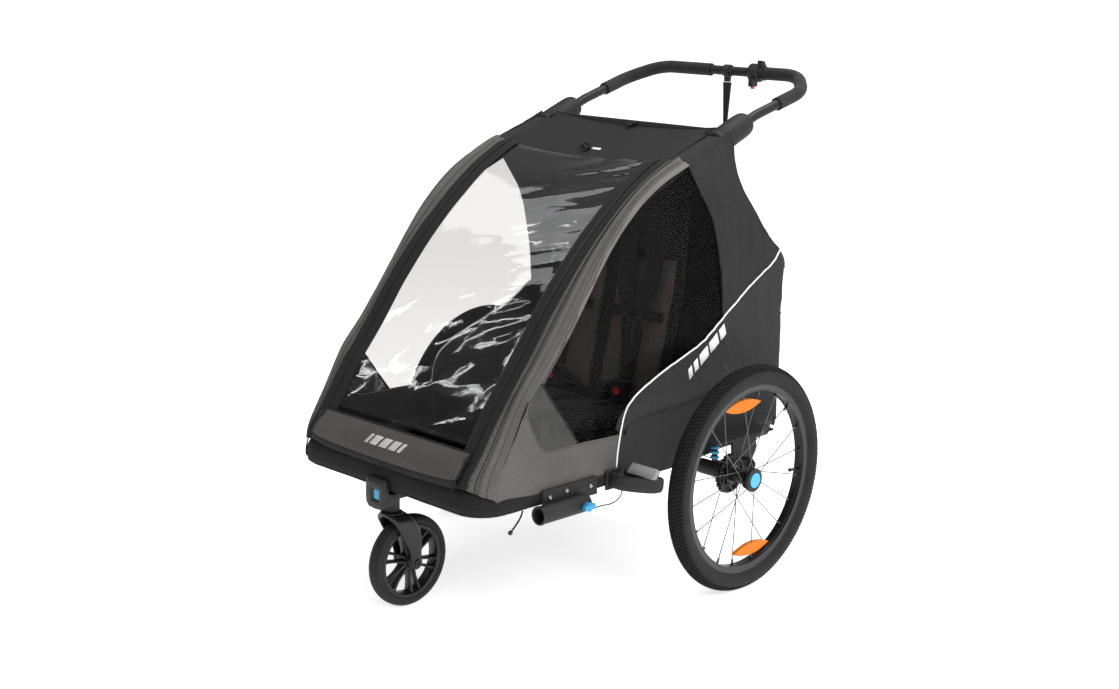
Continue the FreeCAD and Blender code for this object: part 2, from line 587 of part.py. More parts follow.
# ---------------------------------------------------------------- front caster
def caster():
    y, z = CASTER_Y, CASTER_R
    bracket = box(-29, 29, BRACKET_FRONT_Y, -466, 214, 262)
    lip = box(-29, 29, BRACKET_FRONT_Y, -540.5, 262, 296)
    bracket = bracket.fuse(lip)
    for sign in (-1, 1):
        wedge = Part.Face(Part.makePolygon([
            V(sign * 17, -600, 213), V(sign * 30, -600, 213), V(sign * 30, -600, 246),
            V(sign * 17, -600, 213)])).extrude(V(0, 200, 0))
        bracket = bracket.cut(wedge)
    bracket = bracket.cut(rod(V(0, STEM_Y, 200), V(0, STEM_Y, 254), STEM_R + RUN_CLEARANCE))
    window_cut = box(-10.5, 10.5, -560, -535, 246.5, 267.5)
    bracket = bracket.cut(window_cut)
    save("caster_bracket", bracket)
    button = box(-10, 10, -549.5, -539.5, 247, 267)
    button = button.makeFillet(2.5, [e for e in button.Edges if abs(e.Vertexes[0].Y - e.Vertexes[1].Y) > 5])
    button.translate(V(0, 2.0, 0))
    save("caster_button", button)

    stem = rod(V(0, STEM_Y, 190), V(0, STEM_Y, 252), STEM_R)
    crown = box(-31, 31, STEM_Y - 21, STEM_Y + 25, 203, 212)
    crown = crown.fuse(rod(V(0, STEM_Y, 200), V(0, STEM_Y, 213.6), 20))
    legs = []
    for sign in (-1, 1):
        inner, outer = sign * 23, sign * 31
        leg = yz_prism([(STEM_Y - 21, 212), (STEM_Y + 25, 212), (STEM_Y + 34, 190), (y + 13, z),
                        (y - 13, z), (STEM_Y - 16, 186)], min(inner, outer), max(inner, outer))
        legs.append(leg.fuse(x_rod(min(inner, outer), max(inner, outer), y, z, 14)))
    fork = stem.fuse(crown).fuse(legs[0]).fuse(legs[1]).removeSplitter()
    fork = fork.cut(x_rod(-40, 40, y, z, 5))
    bolt = x_rod(-34, 34, y, z, 5).fuse(x_rod(31, 35, y, z, 8)).fuse(x_rod(-35, -31, y, z, 8))
    save("caster_fork", Part.makeCompound([fork, bolt]))

    rim = x_ring(-15, 15, y, z, CASTER_RIM_R, CASTER_RIM_R - 10)
    rim = rim.cut(x_ring(-10, 10, y, z, CASTER_RIM_R + 1, CASTER_RIM_R - 4))
    hub = x_rod(-22, 22, y, z, 14)
    spokes = []
    for i in range(6):
        for shift in (-8, 8):
            spoke = box(-7, 7, shift - 3, shift + 3, 8, CASTER_RIM_R - 9)
            spoke.rotate(V(0, 0, 0), V(1, 0, 0), 60 * i)
            spoke.translate(V(0, y, z))
            spokes.append(spoke)
    rim = rim.fuse([hub] + spokes).cut(x_rod(-40, 40, y, z, 5 + RUN_CLEARANCE))
    save("caster_rim", rim)
    tyre = Part.makeTorus(CASTER_R - CASTER_TYRE_HALF, CASTER_TYRE_HALF, V(0, y, z), V(1, 0, 0))
    tyre = tyre.cut(x_rod(-15.1, 15.1, y, z, CASTER_RIM_R + 0.1))
    tyre = tyre.cut(x_rod(-40, 40, y, z, 73))
    save("caster_tyre", tyre)


# ---------------------------------------------------------------- tow socket and guards
def tow_socket():
    y0, y1 = SOCKET_Y
    tube = rod(V(SOCKET_X, y0, SOCKET_Z), V(SOCKET_X, y1, SOCKET_Z), SOCKET_R)
    plate = yz_prism([(-368, 262), (-372, 300), (-214, 300), (-212, 262)], 293.6, 299)
    socket = tube.fuse(plate)
    step_y = y0 + SOCKET_DEPTH
    socket = socket.cut(rod(V(SOCKET_X, y0 - 1, SOCKET_Z), V(SOCKET_X, step_y, SOCKET_Z), SOCKET_BORE_R))
    socket = socket.cut(rod(V(SOCKET_X, step_y - 1, SOCKET_Z), V(SOCKET_X, y1 - 6, SOCKET_Z), 12))
    socket = socket.cut(x_rod(280, 340, TOW_PIN_Y, SOCKET_Z, TOW_PIN_R + 0.1))
    save("tow_socket", socket)
    pin = x_rod(293.8, 336, TOW_PIN_Y, SOCKET_Z, TOW_PIN_R)
    head = x_rod(SOCKET_X + SOCKET_R + 0.6, 342, TOW_PIN_Y, SOCKET_Z, 9)
    wings = box(336, 344, TOW_PIN_Y - 15, TOW_PIN_Y + 15, SOCKET_Z - 5, SOCKET_Z + 5)
    tail = rod(V(339, TOW_PIN_Y + 8, SOCKET_Z - 2), V(338.1, -259, 252.3), 2.4)
    save("tow_pin", pin.fuse(head).fuse(wings).fuse(tail))


def wheel_guards():
    outline = [(294, -176), (330, -170), (366, -152), (392, -130), (398, -114), (296, -138)]
    shelf = xy_prism(outline, 268, 299)
    dish = xy_prism([(304, -162), (332, -160), (360, -145), (380, -129), (384, -124), (306, -142)], 274, 300)
    shelf = shelf.cut(dish)
    slot = box(330, 372, -200, -150, 279, 287)
    shelf = shelf.cut(slot)
    grip = box(293.4, 298, -182, -132, 262, 303)
    save("wheel_guards", pair(shelf.fuse(grip)))
    lens = box(0, 66, -4, 4, 0, 19)
    lens.rotate(V(0, 0, 0), V(0, 0, 1), 13)
    lens.translate(V(328, -130, 299.2))
    save("guard_reflectors", pair(lens))


def main():
    os.makedirs("parts", exist_ok=True)
    base_frame()
    body_skins()
    upper_frame()
    window()
    roof()
    rear_strut()
    handlebar()
    cords()
    cabin()
    rear_wheel()
    suspension_plates()
    caster()
    tow_socket()
    wheel_guards()


main()
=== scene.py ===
"""Child bicycle trailer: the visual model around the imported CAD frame.

Lengths in the geometry code are millimetres in the frame in which part.py draws,
and P() turns them into metres in the row frame.
"""
import math

import bmesh
import bpy
import numpy as np
from mathutils import Matrix, Vector, noise


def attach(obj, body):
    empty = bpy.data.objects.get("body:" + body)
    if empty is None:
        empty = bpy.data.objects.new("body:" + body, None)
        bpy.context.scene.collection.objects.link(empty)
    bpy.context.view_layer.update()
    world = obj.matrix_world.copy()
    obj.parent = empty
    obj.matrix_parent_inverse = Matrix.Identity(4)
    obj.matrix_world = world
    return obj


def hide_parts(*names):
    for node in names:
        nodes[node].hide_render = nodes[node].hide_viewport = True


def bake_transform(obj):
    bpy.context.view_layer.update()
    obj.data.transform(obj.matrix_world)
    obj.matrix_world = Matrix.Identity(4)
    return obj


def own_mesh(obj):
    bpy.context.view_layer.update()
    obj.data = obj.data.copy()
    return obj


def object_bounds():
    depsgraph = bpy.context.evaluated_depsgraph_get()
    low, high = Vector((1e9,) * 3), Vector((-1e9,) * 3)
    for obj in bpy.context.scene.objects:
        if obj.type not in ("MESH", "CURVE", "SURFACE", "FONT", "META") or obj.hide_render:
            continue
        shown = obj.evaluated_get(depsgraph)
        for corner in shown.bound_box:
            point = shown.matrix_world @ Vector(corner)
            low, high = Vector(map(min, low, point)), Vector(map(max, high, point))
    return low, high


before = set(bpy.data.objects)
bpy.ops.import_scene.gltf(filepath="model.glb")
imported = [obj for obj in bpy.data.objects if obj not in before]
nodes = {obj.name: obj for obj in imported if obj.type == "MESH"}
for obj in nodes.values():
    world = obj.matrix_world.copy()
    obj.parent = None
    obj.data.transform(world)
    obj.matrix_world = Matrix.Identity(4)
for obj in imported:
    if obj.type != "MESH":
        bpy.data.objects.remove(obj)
cad_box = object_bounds()
MIDDLE_Y = 4.0                          # part.py centres the part with this shift
SIDES = (("left", 1), ("right", -1))
SEED = {1: 1.7, -1: 6.3}                # wrinkle seed of each side
WHEEL_X, AXLE_Y, AXLE_Z = 410, 144, 250  # rear wheel centre
CASTER_Y, CASTER_Z, STEM_Y = -462, 98, -507
BAR_Y, BAR_Z = 533, 1090                # middle of the handlebar's cross bar


def P(x, y, z):
    """A point drawn in millimetres, in the row frame's metres."""
    return Vector((x / 1000, (y + MIDDLE_Y) / 1000, z / 1000))


# ---------------------------------------------------------------- materials
def new_material(name, rgb, rough, metallic=0.0, spec=0.5):
    mat = bpy.data.materials.new(name)
    mat.use_nodes = True
    bsdf = mat.node_tree.nodes["Principled BSDF"]
    bsdf.inputs["Base Color"].default_value = (*rgb, 1)
    bsdf.inputs["Roughness"].default_value = rough
    bsdf.inputs["Metallic"].default_value = metallic
    bsdf.inputs["Specular IOR Level"].default_value = spec
    return mat, mat.node_tree, bsdf


def add(tree, kind, **values):
    """A new shader node with its sockets or settings filled in."""
    node = tree.nodes.new(kind)
    for key, value in values.items():
        if key in node.inputs:
            node.inputs[key].default_value = value
        else:
            setattr(node, key, value)
    return node


def object_space(tree, scale=(1, 1, 1), turn=(0, 0, 0)):
    coords = add(tree, "ShaderNodeTexCoord")
    mapping = add(tree, "ShaderNodeMapping")
    mapping.inputs["Scale"].default_value = scale
    mapping.inputs["Rotation"].default_value = turn
    tree.links.new(coords.outputs["Object"], mapping.inputs["Vector"])
    return mapping.outputs["Vector"]


def noise_node(tree, vector, scale, detail=3.0, rough=0.55):
    node = add(tree, "ShaderNodeTexNoise", Scale=scale, Detail=detail, Roughness=rough)
    tree.links.new(vector, node.inputs["Vector"])
    return node.outputs["Fac"]


def ramp(tree, fac, low, high, at=(0.3, 0.7)):
    node = add(tree, "ShaderNodeValToRGB")
    node.color_ramp.elements[0].position = at[0]
    node.color_ramp.elements[0].color = (*low, 1)
    node.color_ramp.elements[1].position = at[1]
    node.color_ramp.elements[1].color = (*high, 1)
    tree.links.new(fac, node.inputs["Fac"])
    return node.outputs["Color"]


def scaled(rgb, k):
    return tuple(min(1.0, c * k) for c in rgb)


def rough_range(tree, fac, low, high):
    node = add(tree, "ShaderNodeMapRange")
    node.inputs["To Min"].default_value = low
    node.inputs["To Max"].default_value = high
    tree.links.new(fac, node.inputs["Value"])
    return node.outputs["Result"]


def add_bump(tree, bsdf, height, strength, distance, normal=None):
    bump = add(tree, "ShaderNodeBump", Strength=strength, Distance=distance)
    tree.links.new(height, bump.inputs["Height"])
    if normal is not None:
        tree.links.new(normal, bump.inputs["Normal"])
    tree.links.new(bump.outputs["Normal"], bsdf.inputs["Normal"])
    return bump.outputs["Normal"]


def fabric(name, rgb, heather=0.25, weave=1.1, rough=0.85, bump=0.5, sheen=0.02, spec=0.12):
    """A plain weave: two crossed thread waves, mottled yarn colour and soft creases."""
    mat, tree, bsdf = new_material(name, rgb, rough, spec=spec)
    vector = object_space(tree)
    waves = []
    for turn in ((0.6, 0.0, 0.5), (-0.6, 0.3, -0.5)):
        turned = object_space(tree, turn=turn)
        wave = add(tree, "ShaderNodeTexWave", Scale=1000 / (weave * 6.283), Distortion=0.4)
        wave.wave_type = "BANDS"
        wave.bands_direction = "DIAGONAL"
        tree.links.new(turned, wave.inputs["Vector"])
        waves.append(wave.outputs["Fac"])
    threads = add(tree, "ShaderNodeMath", operation="MULTIPLY")
    tree.links.new(waves[0], threads.inputs[0])
    tree.links.new(waves[1], threads.inputs[1])
    streak = noise_node(tree, object_space(tree, scale=(1, 1, 0.25)), 900, 2)
    cloud = noise_node(tree, vector, 9, 4)
    fine = ramp(tree, streak, scaled(rgb, 1 - heather), scaled(rgb, 1 + heather))
    wide = ramp(tree, cloud, (0.88, 0.88, 0.88), (1.1, 1.1, 1.1))
    mix = add(tree, "ShaderNodeMix", data_type="RGBA", blend_type="MULTIPLY")
    mix.inputs[0].default_value = 1.0
    tree.links.new(fine, mix.inputs[6])
    tree.links.new(wide, mix.inputs[7])
    tree.links.new(mix.outputs[2], bsdf.inputs["Base Color"])
    tree.links.new(rough_range(tree, cloud, rough - 0.08, rough + 0.06), bsdf.inputs["Roughness"])
    crease = noise_node(tree, vector, 28, 3)
    soft = add_bump(tree, bsdf, crease, 0.18, 0.003)
    add_bump(tree, bsdf, threads.outputs[0], bump, weave * 0.00025, soft)
    bsdf.inputs["Sheen Weight"].default_value = sheen
    bsdf.inputs["Sheen Roughness"].default_value = 0.5
    return mat


def moulded(name, rgb, rough, grain=0.25, scale=700, metallic=0.0, spec=0.5, coat=0.0):
    """Moulded plastic, paint or metal: fine grain, slight mottling and uneven gloss."""
    mat, tree, bsdf = new_material(name, rgb, rough, metallic, spec)
    vector = object_space(tree)
    cloud = noise_node(tree, vector, 14, 4)
    grit = noise_node(tree, vector, scale, 2)
    tree.links.new(ramp(tree, cloud, scaled(rgb, 0.85), scaled(rgb, 1.12)), bsdf.inputs["Base Color"])
    tree.links.new(rough_range(tree, cloud, max(0.02, rough - 0.07), rough + 0.08), bsdf.inputs["Roughness"])
    add_bump(tree, bsdf, grit, grain, 0.0002)
    bsdf.inputs["Coat Weight"].default_value = coat
    return mat


def rubber(name, rgb, rough=0.75):
    """Dusty rubber with a fine grit."""
    mat, tree, bsdf = new_material(name, rgb, rough, spec=0.2)
    vector = object_space(tree)
    dust = noise_node(tree, vector, 35, 5)
    grit = noise_node(tree, vector, 1500, 2)
    tree.links.new(ramp(tree, dust, scaled(rgb, 0.8), scaled(rgb, 1.35)), bsdf.inputs["Base Color"])
    tree.links.new(rough_range(tree, dust, rough - 0.1, rough + 0.1), bsdf.inputs["Roughness"])
    add_bump(tree, bsdf, grit, 0.35, 0.0002)
    return mat


def foam_material():
    """The closed skin of the foam grips."""
    mat, tree, bsdf = new_material("foam_skin", (0.016, 0.016, 0.0165), 0.82, spec=0.2)
    vector = object_space(tree)
    cells = add(tree, "ShaderNodeTexVoronoi", Scale=1100.0)
    tree.links.new(vector, cells.inputs["Vector"])
    cloud = noise_node(tree, vector, 40, 3)
    tree.links.new(ramp(tree, cloud, (0.012, 0.012, 0.0125), (0.021, 0.021, 0.0215)),
                   bsdf.inputs["Base Color"])
    add_bump(tree, bsdf, cells.outputs["Distance"], 0.6, 0.0004)
    bsdf.inputs["Sheen Weight"].default_value = 0.05
    return mat


def clear_sheet(name, tint, gloss_rough, floor, gain, dents=0.25, crinkle=0.0):
    """A thin clear sheet: it lets the view through and reflects more at grazing angles."""
    mat = bpy.data.materials.new(name)
    mat.use_nodes = True
    tree = mat.node_tree
    out = tree.nodes["Material Output"]
    bsdf = tree.nodes["Principled BSDF"]
    bsdf.inputs["Base Color"].default_value = (0.75, 0.76, 0.77, 1)
    bsdf.inputs["Metallic"].default_value = 1.0
    bsdf.inputs["Roughness"].default_value = gloss_rough
    clear = add(tree, "ShaderNodeBsdfTransparent")
    clear.inputs["Color"].default_value = (*tint, 1)
    facing = add(tree, "ShaderNodeLayerWeight", Blend=0.5)
    grazing = add(tree, "ShaderNodeMath", operation="POWER")
    grazing.inputs[1].default_value = 4.0
    tree.links.new(facing.outputs["Facing"], grazing.inputs[0])
    amount = add(tree, "ShaderNodeMath", operation="MULTIPLY_ADD", use_clamp=True)
    amount.inputs[1].default_value = gain
    amount.inputs[2].default_value = floor
    vector = object_space(tree)
    if dents > 0:
        cloud = noise_node(tree, vector, 60, 4)
        soft_normal = add_bump(tree, bsdf, cloud, dents, 0.001)
        if crinkle > 0:
            lines = noise_node(tree, object_space(tree, (0.35, 1.0, 1.0), (0.0, 0.0, 0.3)), 70, 6, 0.62)
            add_bump(tree, bsdf, lines, crinkle, 0.002, soft_normal)
    tree.links.new(grazing.outputs["Value"], amount.inputs[0])
    mix = add(tree, "ShaderNodeMixShader")
    tree.links.new(amount.outputs["Value"], mix.inputs["Fac"])
    tree.links.new(clear.outputs["BSDF"], mix.inputs[1])
    tree.links.new(bsdf.outputs["BSDF"], mix.inputs[2])
    tree.links.new(mix.outputs["Shader"], out.inputs["Surface"])
    return mat


def mesh_net(name, rgb, pitch, open_share):
    """A net: round holes in a fabric, cut out by the alpha of a cell pattern."""
    mat, tree, bsdf = new_material(name, rgb, 0.8)
    vector = object_space(tree)
    cells = add(tree, "ShaderNodeTexVoronoi", Scale=1000.0 / pitch)
    cells.inputs["Randomness"].default_value = 0.15
    tree.links.new(vector, cells.inputs["Vector"])
    hole = add(tree, "ShaderNodeMath", operation="GREATER_THAN")
    hole.inputs[1].default_value = open_share
    tree.links.new(cells.outputs["Distance"], hole.inputs[0])
    tree.links.new(hole.outputs["Value"], bsdf.inputs["Alpha"])
    return mat


def lens_material(name, rgb, painted_glow=0.1, spec=0.5):
    """A moulded reflector: small prisms under a smooth coat, with painted light: emission in its own colour.
    """
    mat, tree, bsdf = new_material(name, rgb, 0.25, 0.0, spec)
    vector = object_space(tree)
    prisms = add(tree, "ShaderNodeTexVoronoi", Scale=330.0)
    prisms.inputs["Randomness"].default_value = 0.0
    prisms.distance = "MANHATTAN"
    tree.links.new(vector, prisms.inputs["Vector"])
    tree.links.new(ramp(tree, prisms.outputs["Distance"], scaled(rgb, 1.25), scaled(rgb, 0.6), (0.0, 0.9)),
                   bsdf.inputs["Base Color"])
    add_bump(tree, bsdf, prisms.outputs["Distance"], 0.5, 0.0008)
    bsdf.inputs["Coat Weight"].default_value = 0.3 * spec
    bsdf.inputs["Coat Roughness"].default_value = 0.12
    # painted light: emission in the reflector's colour, though a reflector gives no light of its own
    bsdf.inputs["Emission Color"].default_value = (*rgb, 1)
    bsdf.inputs["Emission Strength"].default_value = painted_glow
    return mat


MAT = {
    "tube": moulded("tube_paint", (0.009, 0.009, 0.0095), 0.5, 0.12, 900, spec=0.22),
    "steel": moulded("dark_steel", (0.012, 0.012, 0.0125), 0.45, 0.2, 800, spec=0.35),
    "textured": moulded("textured_plate", (0.013, 0.013, 0.013), 0.6, 0.8, 450, spec=0.3),
    "plastic": moulded("black_plastic", (0.011, 0.011, 0.0115), 0.5, 0.35, 900, spec=0.3),
    "gloss": moulded("gloss_black", (0.008, 0.008, 0.0085), 0.3, 0.06, 500, spec=0.35),
    "black": fabric("black_cloth", (0.021, 0.021, 0.0215), 0.3, 1.2, 0.86),
    "bag": fabric("bag_cloth", (0.027, 0.027, 0.0275), 0.3, 1.3, 0.84),
    "roof": fabric("roof_cloth", (0.016, 0.016, 0.0165), 0.3, 1.2, 0.84),
    "grey": fabric("grey_cloth", (0.090, 0.083, 0.080), 0.22, 1.3, 0.8, 0.5),
    "heather": fabric("heather_cloth", (0.082, 0.077, 0.075), 0.75, 1.9, 0.85, 0.8),
    "inner": fabric("inner_cloth", (0.070, 0.058, 0.054), 0.35, 1.4, 0.9),
    "inner_dark": fabric("inner_dark", (0.011, 0.011, 0.0115), 0.35, 1.4, 0.9),
    "webbing": fabric("webbing", (0.008, 0.008, 0.0085), 0.3, 2.2, 0.7, 0.9),
    # painted shade: the bumper cloth is a darker copy of the bag cloth
    "bumper": fabric("bumper_cloth", (0.012, 0.012, 0.0125), 0.3, 1.3, 0.8),
    # painted shade: a darker copy of the grey cloth for the foot panel at the front, the same fabric as the
    # grey sides
    "shaded_front_grey": fabric("front_grey_cloth", (0.060, 0.0565, 0.055), 0.22, 1.3, 0.75, 0.5),
    "bright_steel": moulded("bright_steel", (0.30, 0.30, 0.31), 0.3, 0.1, 600, metallic=1.0),
    "border": fabric("border_cloth", (0.013, 0.013, 0.0135), 0.2, 1.0, 0.75),
    "zip": moulded("zip_teeth", (0.012, 0.012, 0.012), 0.4, 0.4, 500),
    "piping": fabric("light_piping", (0.135, 0.128, 0.125), 0.12, 1.0, 0.7, 0.3),
    "reflective": moulded("reflective_cord", (0.82, 0.82, 0.83), 0.45, 0.3, 900),
    "mark": moulded("silver_mark", (0.42, 0.41, 0.40), 0.38, 0.2, 600),
    "white": moulded("white_mark", (0.75, 0.75, 0.75), 0.5, 0.2, 600),
    "foil": clear_sheet("window_foil", (0.93, 0.93, 0.93), 0.05, 0.085, 0.8, 0.08, 0.05),
    "smoke": clear_sheet("side_window", (0.80, 0.785, 0.78), 0.25, 0.004, 0.06, 0.0),
    "net": mesh_net("vent_net", (0.032, 0.031, 0.030), 3.0, 0.27),
    "foam": foam_material(),
    "tyre": rubber("tyre_rubber", (0.013, 0.013, 0.013)),
    # painted shade: a darker copy of the tyre rubber, for the tread recesses and for the shadow line under
    # the pocket fold
    "painted_shade_rubber": rubber("tyre_groove", (0.0035, 0.0035, 0.0035), 0.9),
    "caster_tyre": rubber("caster_rubber", (0.012, 0.012, 0.012), 0.6),
    "rim": moulded("rim_black", (0.008, 0.008, 0.0085), 0.33, 0.08, 700, spec=0.4),
    "chrome": moulded("spoke_steel", (0.11, 0.11, 0.115), 0.35, 0.05, 500, metallic=1.0),
    "blue": moulded("blue_plastic", (0.012, 0.25, 0.48), 0.35, 0.15, 700, coat=0.15),
    "pale_blue": moulded("pale_blue_plastic", (0.03, 0.36, 0.58), 0.38, 0.15, 700, coat=0.15),
    "red": moulded("red_plastic", (0.55, 0.02, 0.02), 0.3, 0.15, 700, coat=0.3),
    # the two reflector lenses carry painted light by emission
    "orange": lens_material("orange_lens", (0.66, 0.17, 0.002), 0.22, 0.12),
    "lens": lens_material("clear_lens", (0.28, 0.28, 0.28)),
}


def paint(node, key):
    """Puts one material on every slot of a CAD node."""
    obj = nodes[node]
    if not obj.material_slots:
        obj.data.materials.append(MAT[key])
    for s in obj.material_slots:
        s.material = MAT[key]


# ---------------------------------------------------------------- mesh helpers
def link(name, mesh, key, smooth=True):
    mesh.materials.append(MAT[key])
    if smooth:
        for poly in mesh.polygons:
            poly.use_smooth = True
    obj = bpy.data.objects.new(name, mesh)
    bpy.context.scene.collection.objects.link(obj)
    return obj


def mesh_from(name, verts, faces, key, smooth=True):
    mesh = bpy.data.meshes.new(name)
    mesh.from_pydata([tuple(v) for v in verts], [], faces)
    bm = bmesh.new()
    bm.from_mesh(mesh)
    bmesh.ops.remove_doubles(bm, verts=bm.verts, dist=1e-6)
    bmesh.ops.recalc_face_normals(bm, faces=bm.faces)
    bm.to_mesh(mesh)
    bm.free()
    return link(name, mesh, key, smooth)


def grid(name, rows, key, close_rows=False, close_cols=False, caps=False):
    """A quad mesh over rows of points in metres."""
    n, m = len(rows), len(rows[0])
    verts = [p for row in rows for p in row]
    faces = []
    for i in range(n if close_rows else n - 1):
        for j in range(m if close_cols else m - 1):
            a, b = i * m + j, i * m + (j + 1) % m
            c, d = ((i + 1) % n) * m + (j + 1) % m, ((i + 1) % n) * m + j
            faces.append((a, b, c, d))
    if caps:
        faces.append(tuple(reversed(range(m))))
        faces.append(tuple((n - 1) * m + j for j in range(m)))
    return mesh_from(name, verts, faces, key)


def modify(obj, kind, **values):
    mod = obj.modifiers.new(kind.lower(), kind)
    for key, value in values.items():
        setattr(mod, key, value)
    return mod


def bake(obj):
    """Applies the modifiers by taking the evaluated mesh."""
    bpy.context.view_layer.update()
    deps = bpy.context.evaluated_depsgraph_get()
    mesh = bpy.data.meshes.new_from_object(obj.evaluated_get(deps))
    if obj.type == "MESH":
        obj.modifiers.clear()
        obj.data = mesh
        return obj
    name = obj.name
    bpy.data.objects.remove(obj)
    result = bpy.data.objects.new(name, mesh)
    bpy.context.scene.collection.objects.link(result)
    return result


def thicken(obj, mm, offset=-1.0):
    modify(obj, "SOLIDIFY", thickness=mm / 1000, offset=offset)
    return bake(obj)


def join(name, parts):
    """One mesh object from several; their materials stay."""
    merged = bpy.data.meshes.new(name)
    bm = bmesh.new()
    mats = []
    for part in parts:
        offset = []
        for s in part.data.materials:
            if s not in mats:
                mats.append(s)
            offset.append(mats.index(s))
        start = len(bm.faces)
        mesh = part.data.copy()
        mesh.transform(part.matrix_world)
        bm.from_mesh(mesh)
        bm.faces.ensure_lookup_table()
        for face in bm.faces[start:]:
            face.material_index = offset[face.material_index] if offset else 0
        bpy.data.meshes.remove(mesh)
        bpy.data.objects.remove(part)
    bm.to_mesh(merged)
    bm.free()
    for m in mats:
        merged.materials.append(m)
    obj = bpy.data.objects.new(name, merged)
    bpy.context.scene.collection.objects.link(obj)
    return obj


def spline(points, count, smooth=True):
    """Points evenly spaced by length on a curve through the given points."""
    pts = [np.array(p, float) for p in points]
    fine = []
    if smooth and len(pts) > 2:
        ext = [2 * pts[0] - pts[1]] + pts + [2 * pts[-1] - pts[-2]]
        for i in range(1, len(ext) - 2):
            p0, p1, p2, p3 = ext[i - 1:i + 3]
            for k in range(24):
                t = k / 24
                fine.append(0.5 * (2 * p1 + (p2 - p0) * t + (2 * p0 - 5 * p1 + 4 * p2 - p3) * t * t
                                   + (3 * p1 - p0 - 3 * p2 + p3) * t ** 3))
        fine.append(pts[-1])
    else:
        fine = pts
    fine = np.array(fine)
    gaps = np.linalg.norm(np.diff(fine, axis=0), axis=1)
    along = np.concatenate([[0], np.cumsum(gaps)])
    want = np.linspace(0, along[-1], count)
    return np.stack([np.interp(want, along, fine[:, k]) for k in range(fine.shape[1])], axis=1)


def unit(v):
    return v / np.linalg.norm(v)


def direction(line, i, reach=1):
    """Unit tangent of a line of points at its point i."""
    return unit(line[min(i + reach, len(line) - 1)] - line[max(i - reach, 0)])


def upright(d):
    """The normal of a (y, z) direction, a quarter turn on."""
    return np.array([-d[1], d[0]])


def point_at(line, f):
    """A point of the line at a fractional index."""
    k = int(f)
    return line[k] * (1 - (f - k)) + line[min(k + 1, len(line) - 1)] * (f - k)


def circle(count, closed=False):
    """Evenly spaced angles of one turn; a closed one ends where it began."""
    return [2 * math.pi * k / count for k in range(count + closed)]


def tube(name, points, radius, key, sides=10, ends=True, flat=1.0):
    """A closed tube round a line of points in metres."""
    pts = [Vector(p) for p in points]
    rows = []
    up = Vector((1, 0, 0))
    for i, p in enumerate(pts):
        ahead = (pts[min(i + 1, len(pts) - 1)] - pts[max(i - 1, 0)]).normalized()
        side_dir = ahead.cross(up)
        if side_dir.length < 0.2:
            up = Vector((0, 0, 1))
            side_dir = ahead.cross(up)
        side_dir.normalize()
        other = side_dir.cross(ahead).normalized()
        r = radius[i] if hasattr(radius, "__len__") else radius
        rows.append([p + (side_dir * math.cos(a) + other * math.sin(a) * flat) * r
                     for a in circle(sides)])
    return grid(name, rows, key, close_cols=True, caps=ends)


def lathe(name, profile, centre, key, segments=48, axis="X", closed=False):
    """A ring or solid of revolution; profile holds (distance along the axis, radius) in mm."""
    rows = []
    for a in circle(segments):
        row = []
        for d, r in profile:
            c, s = r * math.cos(a), r * math.sin(a)
            offset = {"X": (d, c, s), "Y": (c, d, s), "Z": (c, s, d)}[axis]
            row.append(Vector(centre) + Vector(offset) / 1000)
        rows.append(row)
    return grid(name, rows, key, close_rows=True, close_cols=closed)


def block(name, low, high, key, bevel=1.0, segments=3):
    """A box with rounded edges, corners in drawn mm."""
    a, b = P(*low), P(*high)
    verts = [(x, y, z) for x in (a.x, b.x) for y in (a.y, b.y) for z in (a.z, b.z)]
    faces = [(0, 1, 3, 2), (4, 6, 7, 5), (0, 4, 5, 1), (2, 3, 7, 6), (0, 2, 6, 4), (1, 5, 7, 3)]
    obj = mesh_from(name, verts, faces, key, smooth=False)
    modify(obj, "BEVEL", width=bevel / 1000, segments=segments, limit_method="NONE")
    obj = bake(obj)
    for poly in obj.data.polygons:
        poly.use_smooth = True
    modify(obj, "WEIGHTED_NORMAL")
    return bake(obj)


def ride(obj, body, replaces=()):
    """Rides a piece on its body and hides the CAD nodes it stands for."""
    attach(obj, body)
    if replaces:
        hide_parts(*replaces)
    return obj


def soft(obj, slot_name, keep=0.14):
    """A fabric skin ridden on the base, with a mesh of its own."""
    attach(obj, "base")
    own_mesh(obj)
    return obj


def bend_at_hinge(obj):
    """Bakes the transform of a piece of the cover where the rails are hinged to the base into its mesh."""
    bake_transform(obj)


def wrinkle(x, y, z, scale, seed):
    """Signed noise, about -1 to 1; the point is in mm and scale is the size of one crease."""
    return noise.noise(Vector((x / scale + seed, y / scale - seed, z / scale + 3.1 * seed))) * 1.6


def smoothstep(t):
    t = min(1.0, max(0.0, t))
    return t * t * (3 - 2 * t)


# ---------------------------------------------------------------- lines of the cover (y, z)
ZIP_LINE = [(-531, 322), (-524, 345), (-497, 380), (-435, 474), (-372, 555), (-305, 647), (-234, 730),
            (-163, 799), (-75, 870), (7, 917), (34, 926)]
CORNER_LINE = [(-491, 302), (-486, 342), (-455, 400), (-410, 486), (-356, 549), (-304, 615), (-256, 685),
               (-207, 755), (-156, 812), (-102, 858), (-41, 894), (38, 926)]
WINDOW_LOW = [(-139, 372), (-225, 375), (-310, 376), (-356, 379), (-385, 402), (-408, 440), (-417, 464),
              (-407, 488),
              (-356, 549)]
PIPING_LOW = [(-147, 302), (-144, 340), (-139, 382), (-129, 419), (-105, 445), (-50, 475), (46, 510),
              (112, 534), (184, 580)]
PIPING_HIGH = [(184, 580), (211, 597), (297, 652), (350, 680), (374, 700), (382, 712)]
WINDOW_REAR = [(184, 580), (173, 663), (156, 741), (127, 809), (81, 872), (38, 926)]
REAR_HIGH = [(382, 712), (342, 742), (289, 797), (240, 853), (208, 907), (198, 944), (199, 962)]
REAR_LOW = [(382, 712), (403, 682), (399, 655), (398, 600), (402, 454), (405, 380), (410, 318)]
